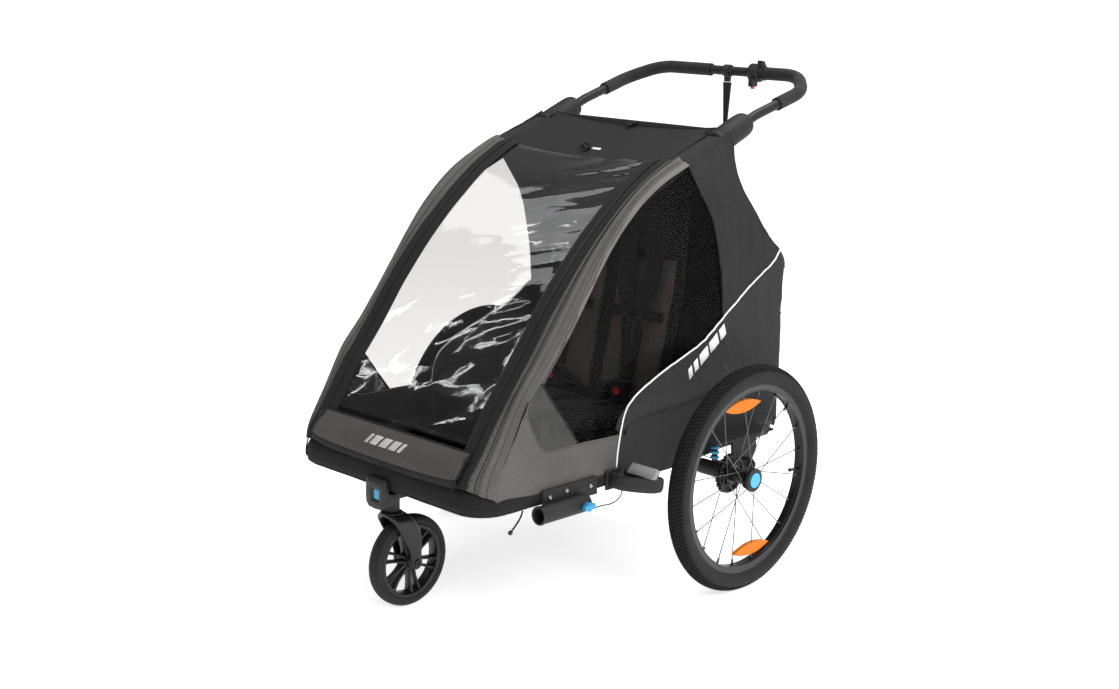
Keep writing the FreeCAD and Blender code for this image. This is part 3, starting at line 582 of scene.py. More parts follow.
BAG_BOTTOM = [(-147, 292), (-100, 268), (49, 266), (150, 272), (245, 284), (330, 300), (410, 318)]
ROOF_SIDE = [(38, 926), (90, 945), (145, 965), (196, 986)]


def side_x(y, z, sign, seed):
    """How far out the side fabric stands."""
    x = 289.6
    low = smoothstep((z - 318) / 70)
    x += 3.5 * low * math.sin(math.pi * min(1, max(0, (z - 318) / 420)))
    x -= 4.0 * smoothstep((z - 780) / 180)
    x -= 4.5 * (1 - smoothstep((y + 470) / 90))
    amount = 0.4 + 1.5 * low
    x += amount * wrinkle(sign * 7, y * 0.6, z * 1.2, 95, seed)
    x += 0.45 * amount * wrinkle(sign * 9, y, z, 34, seed + 5)
    drape = 1 - abs(wrinkle(sign * 5, y + 0.25 * z, z * 0.16, 42, seed + 9))
    x += 1.6 * max(0.0, drape) ** 3 * smoothstep((z - 300) / 60)
    return sign * x


def side_point(p, sign, seed, push=0.0):
    return P(side_x(p[0], p[1], sign, seed) + sign * push, p[0], p[1])


def ruled(first, second, steps):
    """Rows of points from one line to another of the same count."""
    return [first * (1 - t) + second * t for t in (j / steps for j in range(steps + 1))]


def coons(bottom, top, left, right):
    """Rows of (y, z) points inside four boundary lines; bottom and top run left to right."""
    nu, nv = len(bottom), len(left)
    rows = []
    for j in range(nv):
        v = j / (nv - 1)
        row = []
        for i in range(nu):
            u = i / (nu - 1)
            p = ((1 - v) * bottom[i] + v * top[i] + (1 - u) * left[j] + u * right[j]
                 - ((1 - u) * (1 - v) * bottom[0] + u * (1 - v) * bottom[-1]
                    + (1 - u) * v * top[0] + u * v * top[-1]))
            row.append(p)
        rows.append(row)
    return rows


def skin(name, rows, sign, seed, key, push=0.0, thick=1.2):
    """A thickened sheet of side fabric over rows of (y, z) points."""
    obj = grid(name, [[side_point(p, sign, seed, push) for p in row] for row in rows], key)
    return thicken(obj, thick, 0.0)


def seam(name, line, sign, seed, radius, key, push=1.5, flat=1.0):
    """A bead along a (y, z) line on the side fabric; the radius is in mm."""
    return tube(name, [side_point(p, sign, seed, push) for p in line], radius / 1000, key, 8, True, flat)


def line_inside(obj, faces_in):
    """Gives the faces that look into the cabin a dark lining."""
    obj.data.materials.append(MAT["inner_dark"])
    lining = len(obj.data.materials) - 1
    for poly in obj.data.polygons:
        if faces_in(poly):
            poly.material_index = lining


# ---------------------------------------------------------------- sides of the cover
def build_side(tag, sign):
    seed = SEED[sign]

    # side window between its front and rear edges
    front = spline(WINDOW_LOW[:-1] + CORNER_LINE[4:], 110)
    back = spline([(-139, 372)] + PIPING_LOW[3:] + WINDOW_REAR[1:], 110)
    rows = ruled(front, back, 26)
    window = skin("side_window_" + tag, rows, sign, seed, "smoke", -0.6, 0.5)
    soft(window, "black_fabric")

    # upper black panel
    bottom = spline(PIPING_HIGH, 30)
    top = spline(ROOF_SIDE, 30)
    left = spline(WINDOW_REAR, 44)
    right = spline(REAR_HIGH + [(196, 986)], 44)
    upper = skin("upper_panel_" + tag, coons(bottom, top, left, right), sign, seed, "black")
    soft(upper, "black_fabric")
    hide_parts("side_upper_panels")

    # bag side under the light cord
    top = spline(PIPING_LOW + PIPING_HIGH[1:], 76)
    bottom = spline(BAG_BOTTOM, 76)
    left = spline([(-147, 292), (-147, 302)], 30, False)
    right = spline(list(reversed(REAR_LOW)), 30)
    rows = coons(bottom, top, left, right)
    bag = skin("bag_side_" + tag, rows, sign, seed, "bag")
    soft(bag, "black_fabric")

    # grey lower panel round the front of the side window
    outer = spline([(-147, 296), (-300, 292), (-440, 292), (-480, 296)] + CORNER_LINE[:5], 90)
    inner = spline(WINDOW_LOW, 90)
    rows = ruled(outer, inner, 14)
    grey = skin("grey_side_" + tag, rows, sign, seed, "grey")
    bend_at_hinge(grey)
    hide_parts("lower_cover")
    line_inside(grey, lambda poly: poly.normal.x * sign < -0.85)

    cords = [
        seam("light_cord_" + tag, spline(PIPING_LOW + PIPING_HIGH[1:], 120), sign, seed, 1.9, "reflective"),
        seam("rear_binding_" + tag, spline(WINDOW_REAR, 60), sign, seed, 2.0, "border", 0.6),
        seam("rear_corner_seam_" + tag, spline(REAR_HIGH, 60), sign, seed, 2.0, "black", -0.5),
    ]
    for cord in cords:
        soft(cord, "black_fabric")
    soft(seam("window_foot_binding_" + tag, spline(WINDOW_LOW[:-1], 50), sign, seed, 1.6, "grey", 0.5),
         "grey_fabric")

    # fold line of the wheel-arch pocket, with a dark tube of painted shadow under it
    arch = spline([(-128, 376), (-118, 398), (-92, 407), (-48, 413), (24, 416), (84, 420), (152, 432),
                   (212, 456)], 40)
    rows = []
    for i, p in enumerate(arch):
        n = upright(direction(arch, i))
        fade = min(1.0, i / 6, (39 - i) / 8)
        rows.append([side_point(p + n * away, sign, seed, 0.3 + out * fade)
                     for away, out in ((30, 0), (20, 2.5), (10, 7.0), (3, 11.5), (-1, 12.5), (-4, 10.5),
                                       (-4.5, 6), (-2, 1))])
    soft(thicken(grid("pocket_fold_" + tag, rows, "bag"), 1.2, 0.0), "black_fabric")
    # painted shadow: a thin dark tube laid just under the fold, where its shade falls
    crease = [side_point(p + np.array([0.6, -5.0]), sign, seed, 2.6 * min(1.0, i / 6, (39 - i) / 8))
              for i, p in enumerate(arch[:32])]
    soft(tube("pocket_fold_shadow_" + tag, crease, 0.0034, "painted_shade_rubber", 8), "black_fabric")

    # generic slanted marks beside the cord
    marks = []
    for i, (a, b) in enumerate(((0.0, 0.10), (0.15, 0.25), (0.30, 0.52), (0.57, 0.80), (0.85, 1.0))):
        line = np.array([(76, 460), (194, 546)], float)
        d = line[1] - line[0]
        n = upright(unit(d))
        rows = []
        for v in (0, 1):
            row = [line[0] + d * (a + (b - a) * u + 0.05 * v) + n * (v * 24 - 4) for u in (0, 0.5, 1)]
            rows.append(row)
        marks.append(grid("m%d" % i, [[side_point(p, sign, seed, 1.1) for p in row] for row in rows],
                          "white"))
    mark = join("side_mark_" + tag, marks)
    soft(thicken(mark, 0.5, 0.0), "silver_reflector")

    # vent net in the lower front corner of the window, with a dark binding
    outer = spline([(-390, 508), (-407, 488), (-417, 464), (-408, 440), (-385, 402), (-356, 379),
                    (-276, 376)], 50)
    inner = spline([(-380, 519), (-268, 377)], 50, False)
    vent = skin("vent_net_" + tag, ruled(outer, inner, 8), sign, seed, "net", 0.9, 0.6)
    soft(vent, "black_fabric")
    soft(seam("vent_binding_" + tag, inner, sign, seed, 2.6, "border", 0.6, 0.5), "black_fabric")


def cross_strip(first, second, count, sign, ridge, crown, seed):
    """The band that wraps the rail: from the first line at x 243 to the second at x 287."""
    a = spline(first, count)
    b = spline(second, count)
    profile = 17
    rows = []
    for i in range(count):
        row = []
        n = upright(direction(a, i))
        for j in range(profile):
            t = j / (profile - 1)
            x = 243 + 44.5 * t ** 0.92
            p = a[i] * (1 - t) + b[i] * t
            lift = crown * math.sin(math.pi * t) ** 0.8
            lift += ridge * math.exp(-((t - 0.60) / 0.11) ** 2)
            lift -= ridge * 0.55 * math.exp(-((t - 0.38) / 0.05) ** 2)
            lift += 0.8 * wrinkle(x, p[0], p[1], 60, seed)
            q = p + n * lift
            row.append(P(sign * x, q[0], q[1]))
        rows.append(row)
    return rows


def build_strip(tag, sign):
    rows = cross_strip(ZIP_LINE, CORNER_LINE, 110, sign, 5.6, 5.0, 3.0 + sign)
    # the low bead is a seam in the dark border cloth that also stands for the shade of the valley beside the
    # ridge: painted shadow; the high bead is a plain seam in the heather cloth
    for name, k, radius, key in (("strip_seam_painted_shade_", 5, 0.0009, "border"),
                                 ("strip_seam_high_", 12, 0.0008, "heather")):
        bead = tube(name + tag, [r[k] + Vector((sign * 0.0005, -0.0005, 0.0006)) for r in rows], radius, key,
                    6)
        bend_at_hinge(bead)
    strip = grid("grey_strip_" + tag, rows, "grey")
    strip.data.materials.append(MAT["heather"])
    for poly in strip.data.polygons:
        if abs(poly.center.x) < 0.255:
            poly.material_index = 1
    strip = thicken(strip, 1.2, -1.0 if sign > 0 else 1.0)
    bend_at_hinge(strip)
    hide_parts("rail_covers")
    line_inside(strip, lambda poly: poly.normal.x * sign + poly.normal.z < -0.6)

    # light band where the strip meets the window
    edge = spline(CORNER_LINE[3:], 100)
    band = [[P(sign * 287.0, p[0] - 1.0, p[1] + 1.0), P(sign * 290.4, p[0] + 3.0, p[1] - 3.0),
             P(sign * 290.4, p[0] + 8.0, p[1] - 6.5)] for p in edge]
    ribbon = thicken(grid("light_band_" + tag, band, "piping"), 1.4, 0.0)
    ride(ribbon, "upper_frame")

    rows = cross_strip(ROOF_SIDE, [(38, 926), (92, 940), (148, 958), (198, 974)], 30, sign, 0.6, 4.0,
                       5.0 + sign)
    shoulder = thicken(grid("roof_shoulder_" + tag, rows, "black"), 1.2, 0.0)
    ride(shoulder, "upper_frame")


# ---------------------------------------------------------------- window, front panel, roof
def window_surface(count, nx, first, last, half, sag, waves, seed):
    """Rows across X along the window line, from share first to last of its length."""
    line = spline(ZIP_LINE, 400)
    rows = []
    for i in range(count):
        s = first + (last - first) * i / (count - 1)
        k = int(s * 399)
        n = upright(direction(line, k, 2))
        row = []
        for j in range(nx):
            u = -1 + 2 * j / (nx - 1)
            x = u * half
            inner = 1 - u * u
            lift = -sag(s) * inner + waves(x, s, seed) * min(1.0, inner * 3.5)
            q = line[k] + n * (lift - 1.5)
            row.append(P(x, q[0], q[1]))
        rows.append(row)
    return rows


def foil_waves(x, s, seed):
    """Long cross creases on the upper right, and a calm lower left with small dents."""
    right = smoothstep((x + 130) / 260)
    high = smoothstep((s - 0.36) / 0.16)
    lean = s * 620 - 0.26 * x
    long_crease = wrinkle(x * 0.14, lean, seed * 10, 30, seed)
    ridge = 1 - abs(wrinkle(x * 0.18, lean * 1.1, 50, 40, seed + 3))
    dents = wrinkle(x, s * 620, 0, 90, seed + 7)
    crumple = 1 - abs(wrinkle(x * 0.5, lean, 9, 40, seed + 11))
    ripple = wrinkle(x * 0.2, lean, 31, 15, seed + 5)
    swell = right * (0.16 + 0.84 * high) * (2.3 * long_crease + 1.7 * ridge ** 3 + 0.55 * ripple)
    return swell + 0.55 * dents + 0.28 * (1 - high) * crumple ** 5


def build_window():
    sag = lambda s: 4 + 9 * smoothstep((s - 0.75) / 0.25)
    rows = window_surface(230, 130, 0.105, 0.995, 216, sag, foil_waves, 4.2)
    foil = grid("window_foil_sheet", rows, "foil")
    ride(foil, "upper_frame", ["window_foil"])

    # foot panel with a fold along its lower edge
    side_line = spline([(-538, 329), (-535, 340), (-524, 355), (-504, 377), (-497, 384)], 22)
    rows = []
    for j in range(66):
        u = -1 + 2 * j / 65
        x = 222 * u
        row = []
        for i, p in enumerate(side_line):
            v = i / 21
            drop = (1 - v) * (8 * (1 - u * u) - 7 * u * u - 13 * abs(u) ** 14)
            out = 4.5 * math.sin(math.pi * v) * (1 - u ** 4) + 1.1 * wrinkle(x, p[0], p[1], 48, 1.1)
            row.append(P(x, p[0] - out, p[1] - drop * 0.4 + out * 0.5))
        rows.append(row)
    # painted shade: the foot panel takes the darker copy of the grey cloth
    panel = thicken(grid("foot_panel", rows, "shaded_front_grey"), 1.5, 0.0)
    line_inside(panel, lambda poly: poly.normal.y > 0.2)
    ride(panel, "upper_frame", ["front_panel"])
    edge = tube("foot_panel_binding", [r[0] for r in rows], 0.0024, "border", 8)
    ride(edge, "upper_frame")
    lip = [[r[0] + Vector((0, dy, dz)) for dy, dz in ((0.001, 0.0006), (0.0015, -0.005), (0.004, -0.012),
                                                      (0.011, -0.017))]
           for r in rows]
    ride(thicken(grid("foot_panel_lip", lip, "border"), 1.6, 0.0), "upper_frame")
    edge = tube("foil_foot_binding", [r[-1] for r in rows], 0.0026, "border", 8)
    ride(edge, "upper_frame")

    # generic mark: five slanted bars
    marks = []
    spans = ((-60, -50), (-44, -22), (-16, 6), (12, 34), (40, 50))
    for i, (x0, x1) in enumerate(spans):
        bars = []
        for v in np.linspace(0, 1, 6):
            bar = []
            for u in np.linspace(0, 1, 5):
                x = x0 + (x1 - x0) * u + 9 * v
                uu = x / 222
                vv = 0.38 + 0.30 * v
                p = point_at(side_line, vv * 21)
                drop = (1 - vv) * 8 * (1 - uu * uu) - (1 - vv) * 5 * uu * uu
                bulge = 4.5 * math.sin(math.pi * vv) * (1 - uu ** 4)
                out = bulge + 1.1 * wrinkle(x, p[0], p[1], 48, 1.1) + 1.3
                bar.append(P(x, p[0] - out, p[1] - drop * 0.4 + out * 0.5))
            bars.append(bar)
        marks.append(grid("b%d" % i, bars, "mark"))
    ride(thicken(join("foot_panel_mark", marks), 0.4, 0.0), "upper_frame")

    # zip tapes with two rows of teeth
    for tag, sign in SIDES:
        line = spline(ZIP_LINE, 240)
        rows = []
        teeth = []
        for i, p in enumerate(line):
            n = upright(direction(line, i))
            row = []
            for x, lift in ((197, -1.2), (205, 0.6), (216, 1.5), (223.5, 0.9), (225, 2.6), (226.5, 0.9),
                            (231, 1.8),
                            (237, 2.8), (244, 2.6), (249, 1.8)):
                q = p + n * (lift + 0.4 * wrinkle(x, p[0], p[1], 50, 2.2))
                row.append(P(sign * x, q[0], q[1]))
            rows.append(row)
        tape = thicken(grid("zip_tape_" + tag, rows, "border"), 0.9, 0.0)
        ride(tape, "upper_frame", ["window_zips"])
        for i in range(900):
            f = i / 900 * 239
            d = unit(line[int(f) + 1] - line[int(f)])
            n = upright(d)
            x = 225 + (0.9 if i % 2 else -0.9)
            c = point_at(line, f) + n * 2.8
            for sx, sd, sn in ((-1.5, -0.3, -0.7), (1.5, -0.3, -0.7), (1.5, 0.3, -0.7), (-1.5, 0.3, -0.7),
                               (-1.5, -0.3, 0.7), (1.5, -0.3, 0.7), (1.5, 0.3, 0.7), (-1.5, 0.3, 0.7)):
                q = c + d * sd + n * sn
                teeth.append(P(sign * (x + sx), q[0], q[1]))
        faces = []
        for k in range(0, len(teeth), 8):
            for face in ((0, 3, 2, 1), (4, 5, 6, 7), (0, 1, 5, 4), (1, 2, 6, 5), (2, 3, 7, 6), (3, 0, 4, 7)):
                faces.append(tuple(k + q for q in face))
        mesh = bpy.data.meshes.new("zip_teeth_" + tag)
        mesh.from_pydata([tuple(v) for v in teeth], [], faces)
        ride(link("zip_teeth_" + tag, mesh, "zip", False), "upper_frame")


def roof_z(x, y):
    """Height of the roof cloth: it hangs between the two sides."""
    t = (y - 38) / 158
    edge = 926 + 60 * t
    u = x / 240
    hang = (17 - 4 * t) * (1 - u * u) ** 0.9 if abs(u) < 1 else 0
    return edge - hang + 0.9 * wrinkle(x * 0.7, y, 3, 70, 8.8) * (1 - abs(u))


def build_roof():
    rows = []
    for i in range(40):
        y = 34 + 166 * i / 39
        rows.append([P(x, y, roof_z(x, y)) for x in np.linspace(-240, 240, 90)])
    cloth = thicken(grid("roof_cloth_sheet", rows, "roof"), 1.3, 0.0)
    ride(cloth, "upper_frame", ["roof_panel"])
    hem = [P(x, 37, roof_z(x, 37) + 0.8) for x in np.linspace(-238, 238, 60)]
    ride(tube("roof_front_hem", hem, 0.0026, "roof", 8, True, 0.6), "upper_frame")
    hem = [P(x, 197, roof_z(x, 197) + 0.6) for x in np.linspace(-238, 238, 60)]
    ride(tube("roof_rear_hem", hem, 0.003, "roof", 8, True, 0.6), "upper_frame")
    # plain white tag, webbing loop with D-ring, and a small side-release buckle at the rear edge
    tag_rows = [[P(x, y, roof_z(x, y) + 2.2 + 2 * (y - 74) / 10) for x in (-13, -4, 4, 13)]
                for y in (72, 75, 78)]
    ride(thicken(grid("roof_tag", tag_rows, "white"), 0.8, 0.0), "upper_frame")
    loop = [P(-22 + 11 * math.cos(a), 66 + 5 * math.sin(2 * a), roof_z(-22, 66) + 8 + 7 * math.sin(a))
            for a in np.linspace(-0.9, 4.1, 24)]
    ride(tube("roof_loop", loop, 0.0032, "webbing", 8, True, 0.35), "upper_frame")
    ring = [P(-24 + 9 * math.cos(a), 60, roof_z(-24, 60) + 9 + 8 * math.sin(a)) for a in circle(28, True)]
    ride(tube("roof_d_ring", ring, 0.0017, "gloss", 8, False), "upper_frame")
    body = block("roof_buckle", (-9, 186, 976), (13, 204, 984), "gloss", 2.0)
    prong = block("roof_buckle_tab", (-6, 178, 973.5), (10, 189, 980), "gloss", 1.5)
    ride(join("roof_buckle", [body, prong]), "upper_frame")


# ---------------------------------------------------------------- back of the cover
def build_back():
    line = spline([(199, 985), (198, 962), (199, 944), (208, 907), (240, 853), (289, 797), (342, 742),
                   (382, 712),
                   (403, 682), (399, 655), (398, 600), (402, 454), (405, 380), (410, 318), (404, 296)], 130)
    rows = []
    for i, p in enumerate(line):
        n = upright(direction(line, i))
        if n[0] < 0:
            n = -n
        row = []
        for j in range(96):
            u = -1 + 2 * j / 95
            sign = 1 if u > 0 else -1
            edge = abs(side_x(p[0], p[1], sign, SEED[sign]))
            x = u * edge
            middle = 1 - u * u
            slack = -3 * middle * smoothstep((p[1] - 712) / 60) + 3.5 * middle * smoothstep((690 - p[1]) / 80)
            crease = 1.6 * wrinkle(x * 0.8, p[0], p[1] * 0.7, 85, 9.9) + 0.7 * wrinkle(x, p[0], p[1], 30, 4.4)
            q = p + n * (slack + crease * min(1.0, middle * 4))
            if p[1] > 930:
                x *= 1 - 0.09 * smoothstep((p[1] - 930) / 55)
            row.append(P(x, q[0], q[1]))
        rows.append(row)
    back = thicken(grid("bag_back", rows, "bag"), 1.3, 0.0)
    soft(back, "black_fabric")
    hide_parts("rear_bag")
    for name, k in (("lid_seam", 66), ("bag_pocket_hem", 84)):
        bead = tube(name, [p + Vector((0, 0.0012, 0.0006)) for p in rows[k]], 0.0024, "border", 8)
        soft(bead, "black_fabric")
    # flap over the zip across the lid
    flap = [[rows[58 + i][j] + Vector((0, 0.003 + 0.001 * i, 0.002)) for j in range(8, 88)] for i in range(7)]
    soft(thicken(grid("lid_flap", flap, "black"), 1.4, 0.0), "black_fabric")
    # bag floor
    rows = []
    for i in range(24):
        y = 60 + 344 * i / 23
        z = np.interp(y, [p[0] for p in BAG_BOTTOM], [p[1] for p in BAG_BOTTOM])
        rows.append([P(x, y, max(z, 298 if y > 130 else z) - 2 + 1.5 * wrinkle(x, y, 0, 80, 2.1))
                     for x in np.linspace(-287, 287, 40)])
    floor = thicken(grid("bag_floor", rows, "bag"), 1.4, 0.0)
    soft(floor, "black_fabric")


# ---------------------------------------------------------------- bumper
def build_bumper():
    path = []
    corner = 55
    for y in np.linspace(-112, -518 + corner, 30):
        path.append((272, y))
    for a in np.linspace(0, math.pi / 2, 14)[1:]:
        path.append((272 - corner + corner * math.cos(a), -518 + corner - corner * math.sin(a)))
    for x in np.linspace(272 - corner, 0, 24)[1:]:
        path.append((x, -518))
    path += [(-x, y) for x, y in reversed(path[:-1])]
    rows = []
    for i, (x, y) in enumerate(path):
        a, b = path[max(i - 1, 0)], path[min(i + 1, len(path) - 1)]
        d = np.array([b[0] - a[0], b[1] - a[1]], float)
        d /= np.linalg.norm(d)
        out = np.array([-d[1], d[0]])
        if np.dot(out, (x, y + 200)) < 0:
            out = -out
        front = smoothstep((-y - 470) / 40)
        row = []
        for ang in circle(30):
            r = 21 + 0.5 * wrinkle(x, y, 40 * math.sin(ang), 60, 5.5)
            c, s = math.cos(ang), math.sin(ang)
            height = s * r
            if s > 0.2:
                height += 15 * front * (s - 0.2) / 0.8
            push = c * r
            if s < -0.4:
                push *= 0.97
            row.append(P(x + out[0] * push, y + out[1] * push, 284 + height))
        rows.append(row)
    # painted shade: the wrap takes the darker copy of the bag cloth
    cover = grid("bumper_wrap", rows, "bumper", close_cols=True, caps=True)
    ride(cover, "base", ["bumper_cover"])
    bead = tube("bumper_seam", [r[8] + Vector((0, 0, 0.0004)) for r in rows], 0.0019, "border", 8)
    ride(bead, "base")
    bead = tube("bumper_lower_seam", [r[27] for r in rows], 0.0014, "border", 8)
    ride(bead, "base")


# ---------------------------------------------------------------- cabin
def pad(name, low, high, key, crown, seams_x=(), seams_z=(), n=26, pinch=0.35, shape=None):
    """A crowned closed pad between two corners (mm); its edges pull in and its seams sink."""
    bm = bmesh.new()
    bmesh.ops.create_cube(bm, size=2.0)
    bmesh.ops.subdivide_edges(bm, edges=bm.edges, cuts=n, use_grid_fill=True)
    lo, hi = np.array(low, float), np.array(high, float)
    mid, half = (lo + hi) / 2, (hi - lo) / 2
    thin = int(np.argmin(half))
    flat = [k for k in range(3) if k != thin]
    for v in bm.verts:
        p = np.array(v.co)
        u, w = p[flat[0]], p[flat[1]]
        t = p[thin]
        fall = max(0.0, (1 - abs(u) ** 2.6)) * max(0.0, (1 - abs(w) ** 2.6))
        swell = fall ** pinch
        pos = mid + p * half
        edge = half[thin] * (0.22 + 0.78 * swell)
        depth = 0.0
        for s in seams_x:
            depth += math.exp(-((pos[flat[0]] - s) / 5.0) ** 2)
        for s in seams_z:
            depth += math.exp(-((pos[flat[1]] - s) / 5.0) ** 2)
        edge += crown * fall - crown * 1.2 * min(1.0, depth) * fall
        pos[thin] = mid[thin] + t * edge
        for k in flat:
            pos[k] = mid[k] + p[k] * half[k] * (1 + 0.02 * (1 - abs(t)))
        pos += 0.8 * np.array([wrinkle(*pos, 40, 3.3), wrinkle(*pos, 40, 7.3), wrinkle(*pos, 40, 5.3)])
        if shape is not None:
            pos = shape(pos)
        v.co = P(*pos)
    mesh = bpy.data.meshes.new(name)
    bm.to_mesh(mesh)
    bm.free()
    return link(name, mesh, key)


def puff(obj, voxel, pressure, cap):
    """Swells a closed pad with a short cloth simulation and limits how far it moves."""
    modify(obj, "REMESH", mode="VOXEL", voxel_size=voxel)
    obj = bake(obj)
    start = np.array([v.co for v in obj.data.vertices])
    cloth = obj.modifiers.new("puff", "CLOTH")
    cloth.settings.quality = 4
    cloth.settings.use_pressure = True
    cloth.settings.uniform_pressure_force = pressure
    cloth.settings.effector_weights.gravity = 0
    cloth.settings.shrink_min = -0.03
    scene = bpy.context.scene
    for f in range(1, 15):
        scene.frame_set(f)
    obj = bake(obj)
    scene.frame_set(1)
    co = np.array([v.co for v in obj.data.vertices])
    move = co - start
    size = np.linalg.norm(move, axis=1, keepdims=True)
    co = start + move * np.minimum(1, cap / np.maximum(size, 1e-9))
    obj.data.vertices.foreach_set("co", co.ravel())
    obj.data.update()
    for poly in obj.data.polygons:
        poly.use_smooth = True
    modify(obj, "SMOOTH", factor=0.5, iterations=8)
    return bake(obj)


def lean(pos):
    """Leans a flat pad drawn in the XZ plane onto the seat back's front face."""
    x, y, z = pos
    face = np.interp(z, [352, 640, 900], [88, 146, 156])
    return np.array([x, y + face, z])


def build_cabin():
    # bench: two seat cushions side by side with a front roll
    for name, x0, x1 in (("seat_pad_left", 4, 196), ("seat_pad_right", -196, -4)):
        obj = pad(name, (x0, -206, 356), (x1, 78, 380), "inner_dark", 5.0,
                  seams_x=[(x0 + x1) / 2 - 58, (x0 + x1) / 2 + 58],
                  seams_z=[-120, 0], shape=lambda p: np.array([p[0], p[1], p[2] - (p[1] + 206) * 0.075 + 3]))
        obj = puff(obj, 0.006, 2.0, 0.006)
        soft(obj, "inner_fabric")
    roll = pad("seat_front_roll", (-196, -228, 300), (196, -204, 384), "inner_dark", 4.0, n=18)
    soft(roll, "inner_fabric")
    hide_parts("seat_cushion")

    back = pad("back_rest", (-196, 6, 356), (196, 26, 898), "inner_dark", 3.0, seams_x=[0], n=34, shape=lean)
    soft(back, "inner_fabric")
    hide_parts("seat_back")
    for name, x0, x1 in (("left", 14, 184), ("right", -184, -14)):
        mid = (x0 + x1) / 2
        lower = pad("back_pad_" + name, (x0, -4, 372), (x1, 10, 690), "inner", 3.0,
                    seams_x=[mid - 48, mid + 48], seams_z=[480, 590], shape=lean)
        lower = puff(lower, 0.006, 2.0, 0.006)
        head = pad("head_pad_" + name, (x0 + 8, -10, 704), (x1 - 8, 10, 872), "inner_dark", 4.0, shape=lean)
        head = puff(head, 0.006, 2.0, 0.006)
        soft(lower, "inner_fabric")
        soft(head, "inner_fabric")

    # harness: two shoulder straps with pads, lap straps, ring adjusters
    for tag, seat in (("left", 104), ("right", -104)):
        parts = []
        rings = []
        for side_sign in (-1, 1):
            top = seat + side_sign * 38
            low = seat + side_sign * 14
            line = spline([(top, 150, 800), (top, 132, 740), (top - side_sign * 2, 118, 640),
                           (low + side_sign * 8, 104, 560), (low, 98, 490), (low - side_sign * 4, 90, 440),
                           (low - side_sign * 8, 82, 412)], 60)
            rows = []
            for i, p in enumerate(line):
                d = direction(line, i)
                across = np.array([1.0, 0, 0])
                across = across - d * d[0]
                across /= np.linalg.norm(across)
                rows.append([P(*(p + across * w)) for w in (-12.5, -6, 0, 6, 12.5)])
            parts.append(thicken(grid("strap", rows, "webbing"), 1.6, 0.0))
            pad_rows = []
            for i in range(4, 34):
                p = line[i]
                t = (i - 4) / 29
                n = unit(np.cross(np.array([1.0, 0, 0]), direction(line, i)))
                if n[1] > 0:
                    n = -n
                swell = math.sqrt(max(0, 1 - (2 * t - 1) ** 6))
                row = []
                for a in circle(16):
                    cx, cy = math.cos(a), math.sin(a)
                    wx = 24 * swell * math.copysign(abs(cx) ** 0.7, cx)
                    wy = 6.5 * swell * math.copysign(abs(cy) ** 0.8, cy)
                    row.append(P(*(p + np.array([1.0, 0, 0]) * wx + n * (wy + 1.0))))
                pad_rows.append(row)
            shoulder = grid("harness_pad_%s_%d" % (tag, (side_sign + 1) // 2), pad_rows, "inner_dark",
                            close_cols=True, caps=True)
            soft(shoulder, "webbing")
            lap = spline([(seat + side_sign * 86, 70, 386), (seat + side_sign * 66, 72, 392),
                          (seat + side_sign * 40, 74, 400), (seat + side_sign * 18, 76, 403)], 30)
            rows = [[P(p[0], p[1], p[2] + w) for w in (-11, 0, 11)] for p in lap]
            parts.append(thicken(grid("strap", rows, "webbing"), 1.6, 0.0))
            c = line[38]
            ring = [P(c[0] + 13 * math.cos(a), c[1] - 4, c[2] + 13 * math.sin(a)) for a in circle(24, True)]
            rings.append(tube("ring", ring, 0.0022, "gloss", 8, False))
        cross = [[P(seat + x, 108, z) for z in (558, 570, 582)] for x in np.linspace(-84, 84, 16)]
        parts.append(thicken(grid("strap", cross, "webbing"), 1.6, 0.0))
        crotch = spline([(seat, -22, 382), (seat, 20, 379), (seat, 50, 378), (seat, 72, 382)], 20)
        parts.append(thicken(grid("strap", [[P(seat + w, p[1], p[2]) for w in (-12, 0, 12)] for p in crotch],
                                  "webbing"), 1.6, 0.0))
        straps = join("harness_straps_" + tag, parts)
        soft(straps, "webbing")
        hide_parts("harness")
        soft(join("harness_rings_" + tag, rings), "black_plastic")

    # footwell floor
    rows = []
    for i in range(40):
        y = -505 + 880 * i / 39
        rows.append([P(x, y, 267.6 + 2.0 * wrinkle(x, y, 0, 90,
                                                   6.6) + 1.6) for x in np.linspace(-262, 262, 46)])
    floor = thicken(grid("floor_cloth", rows, "inner_dark"), 1.2, 0.0)
    ride(floor, "base", ["floor_panel"])


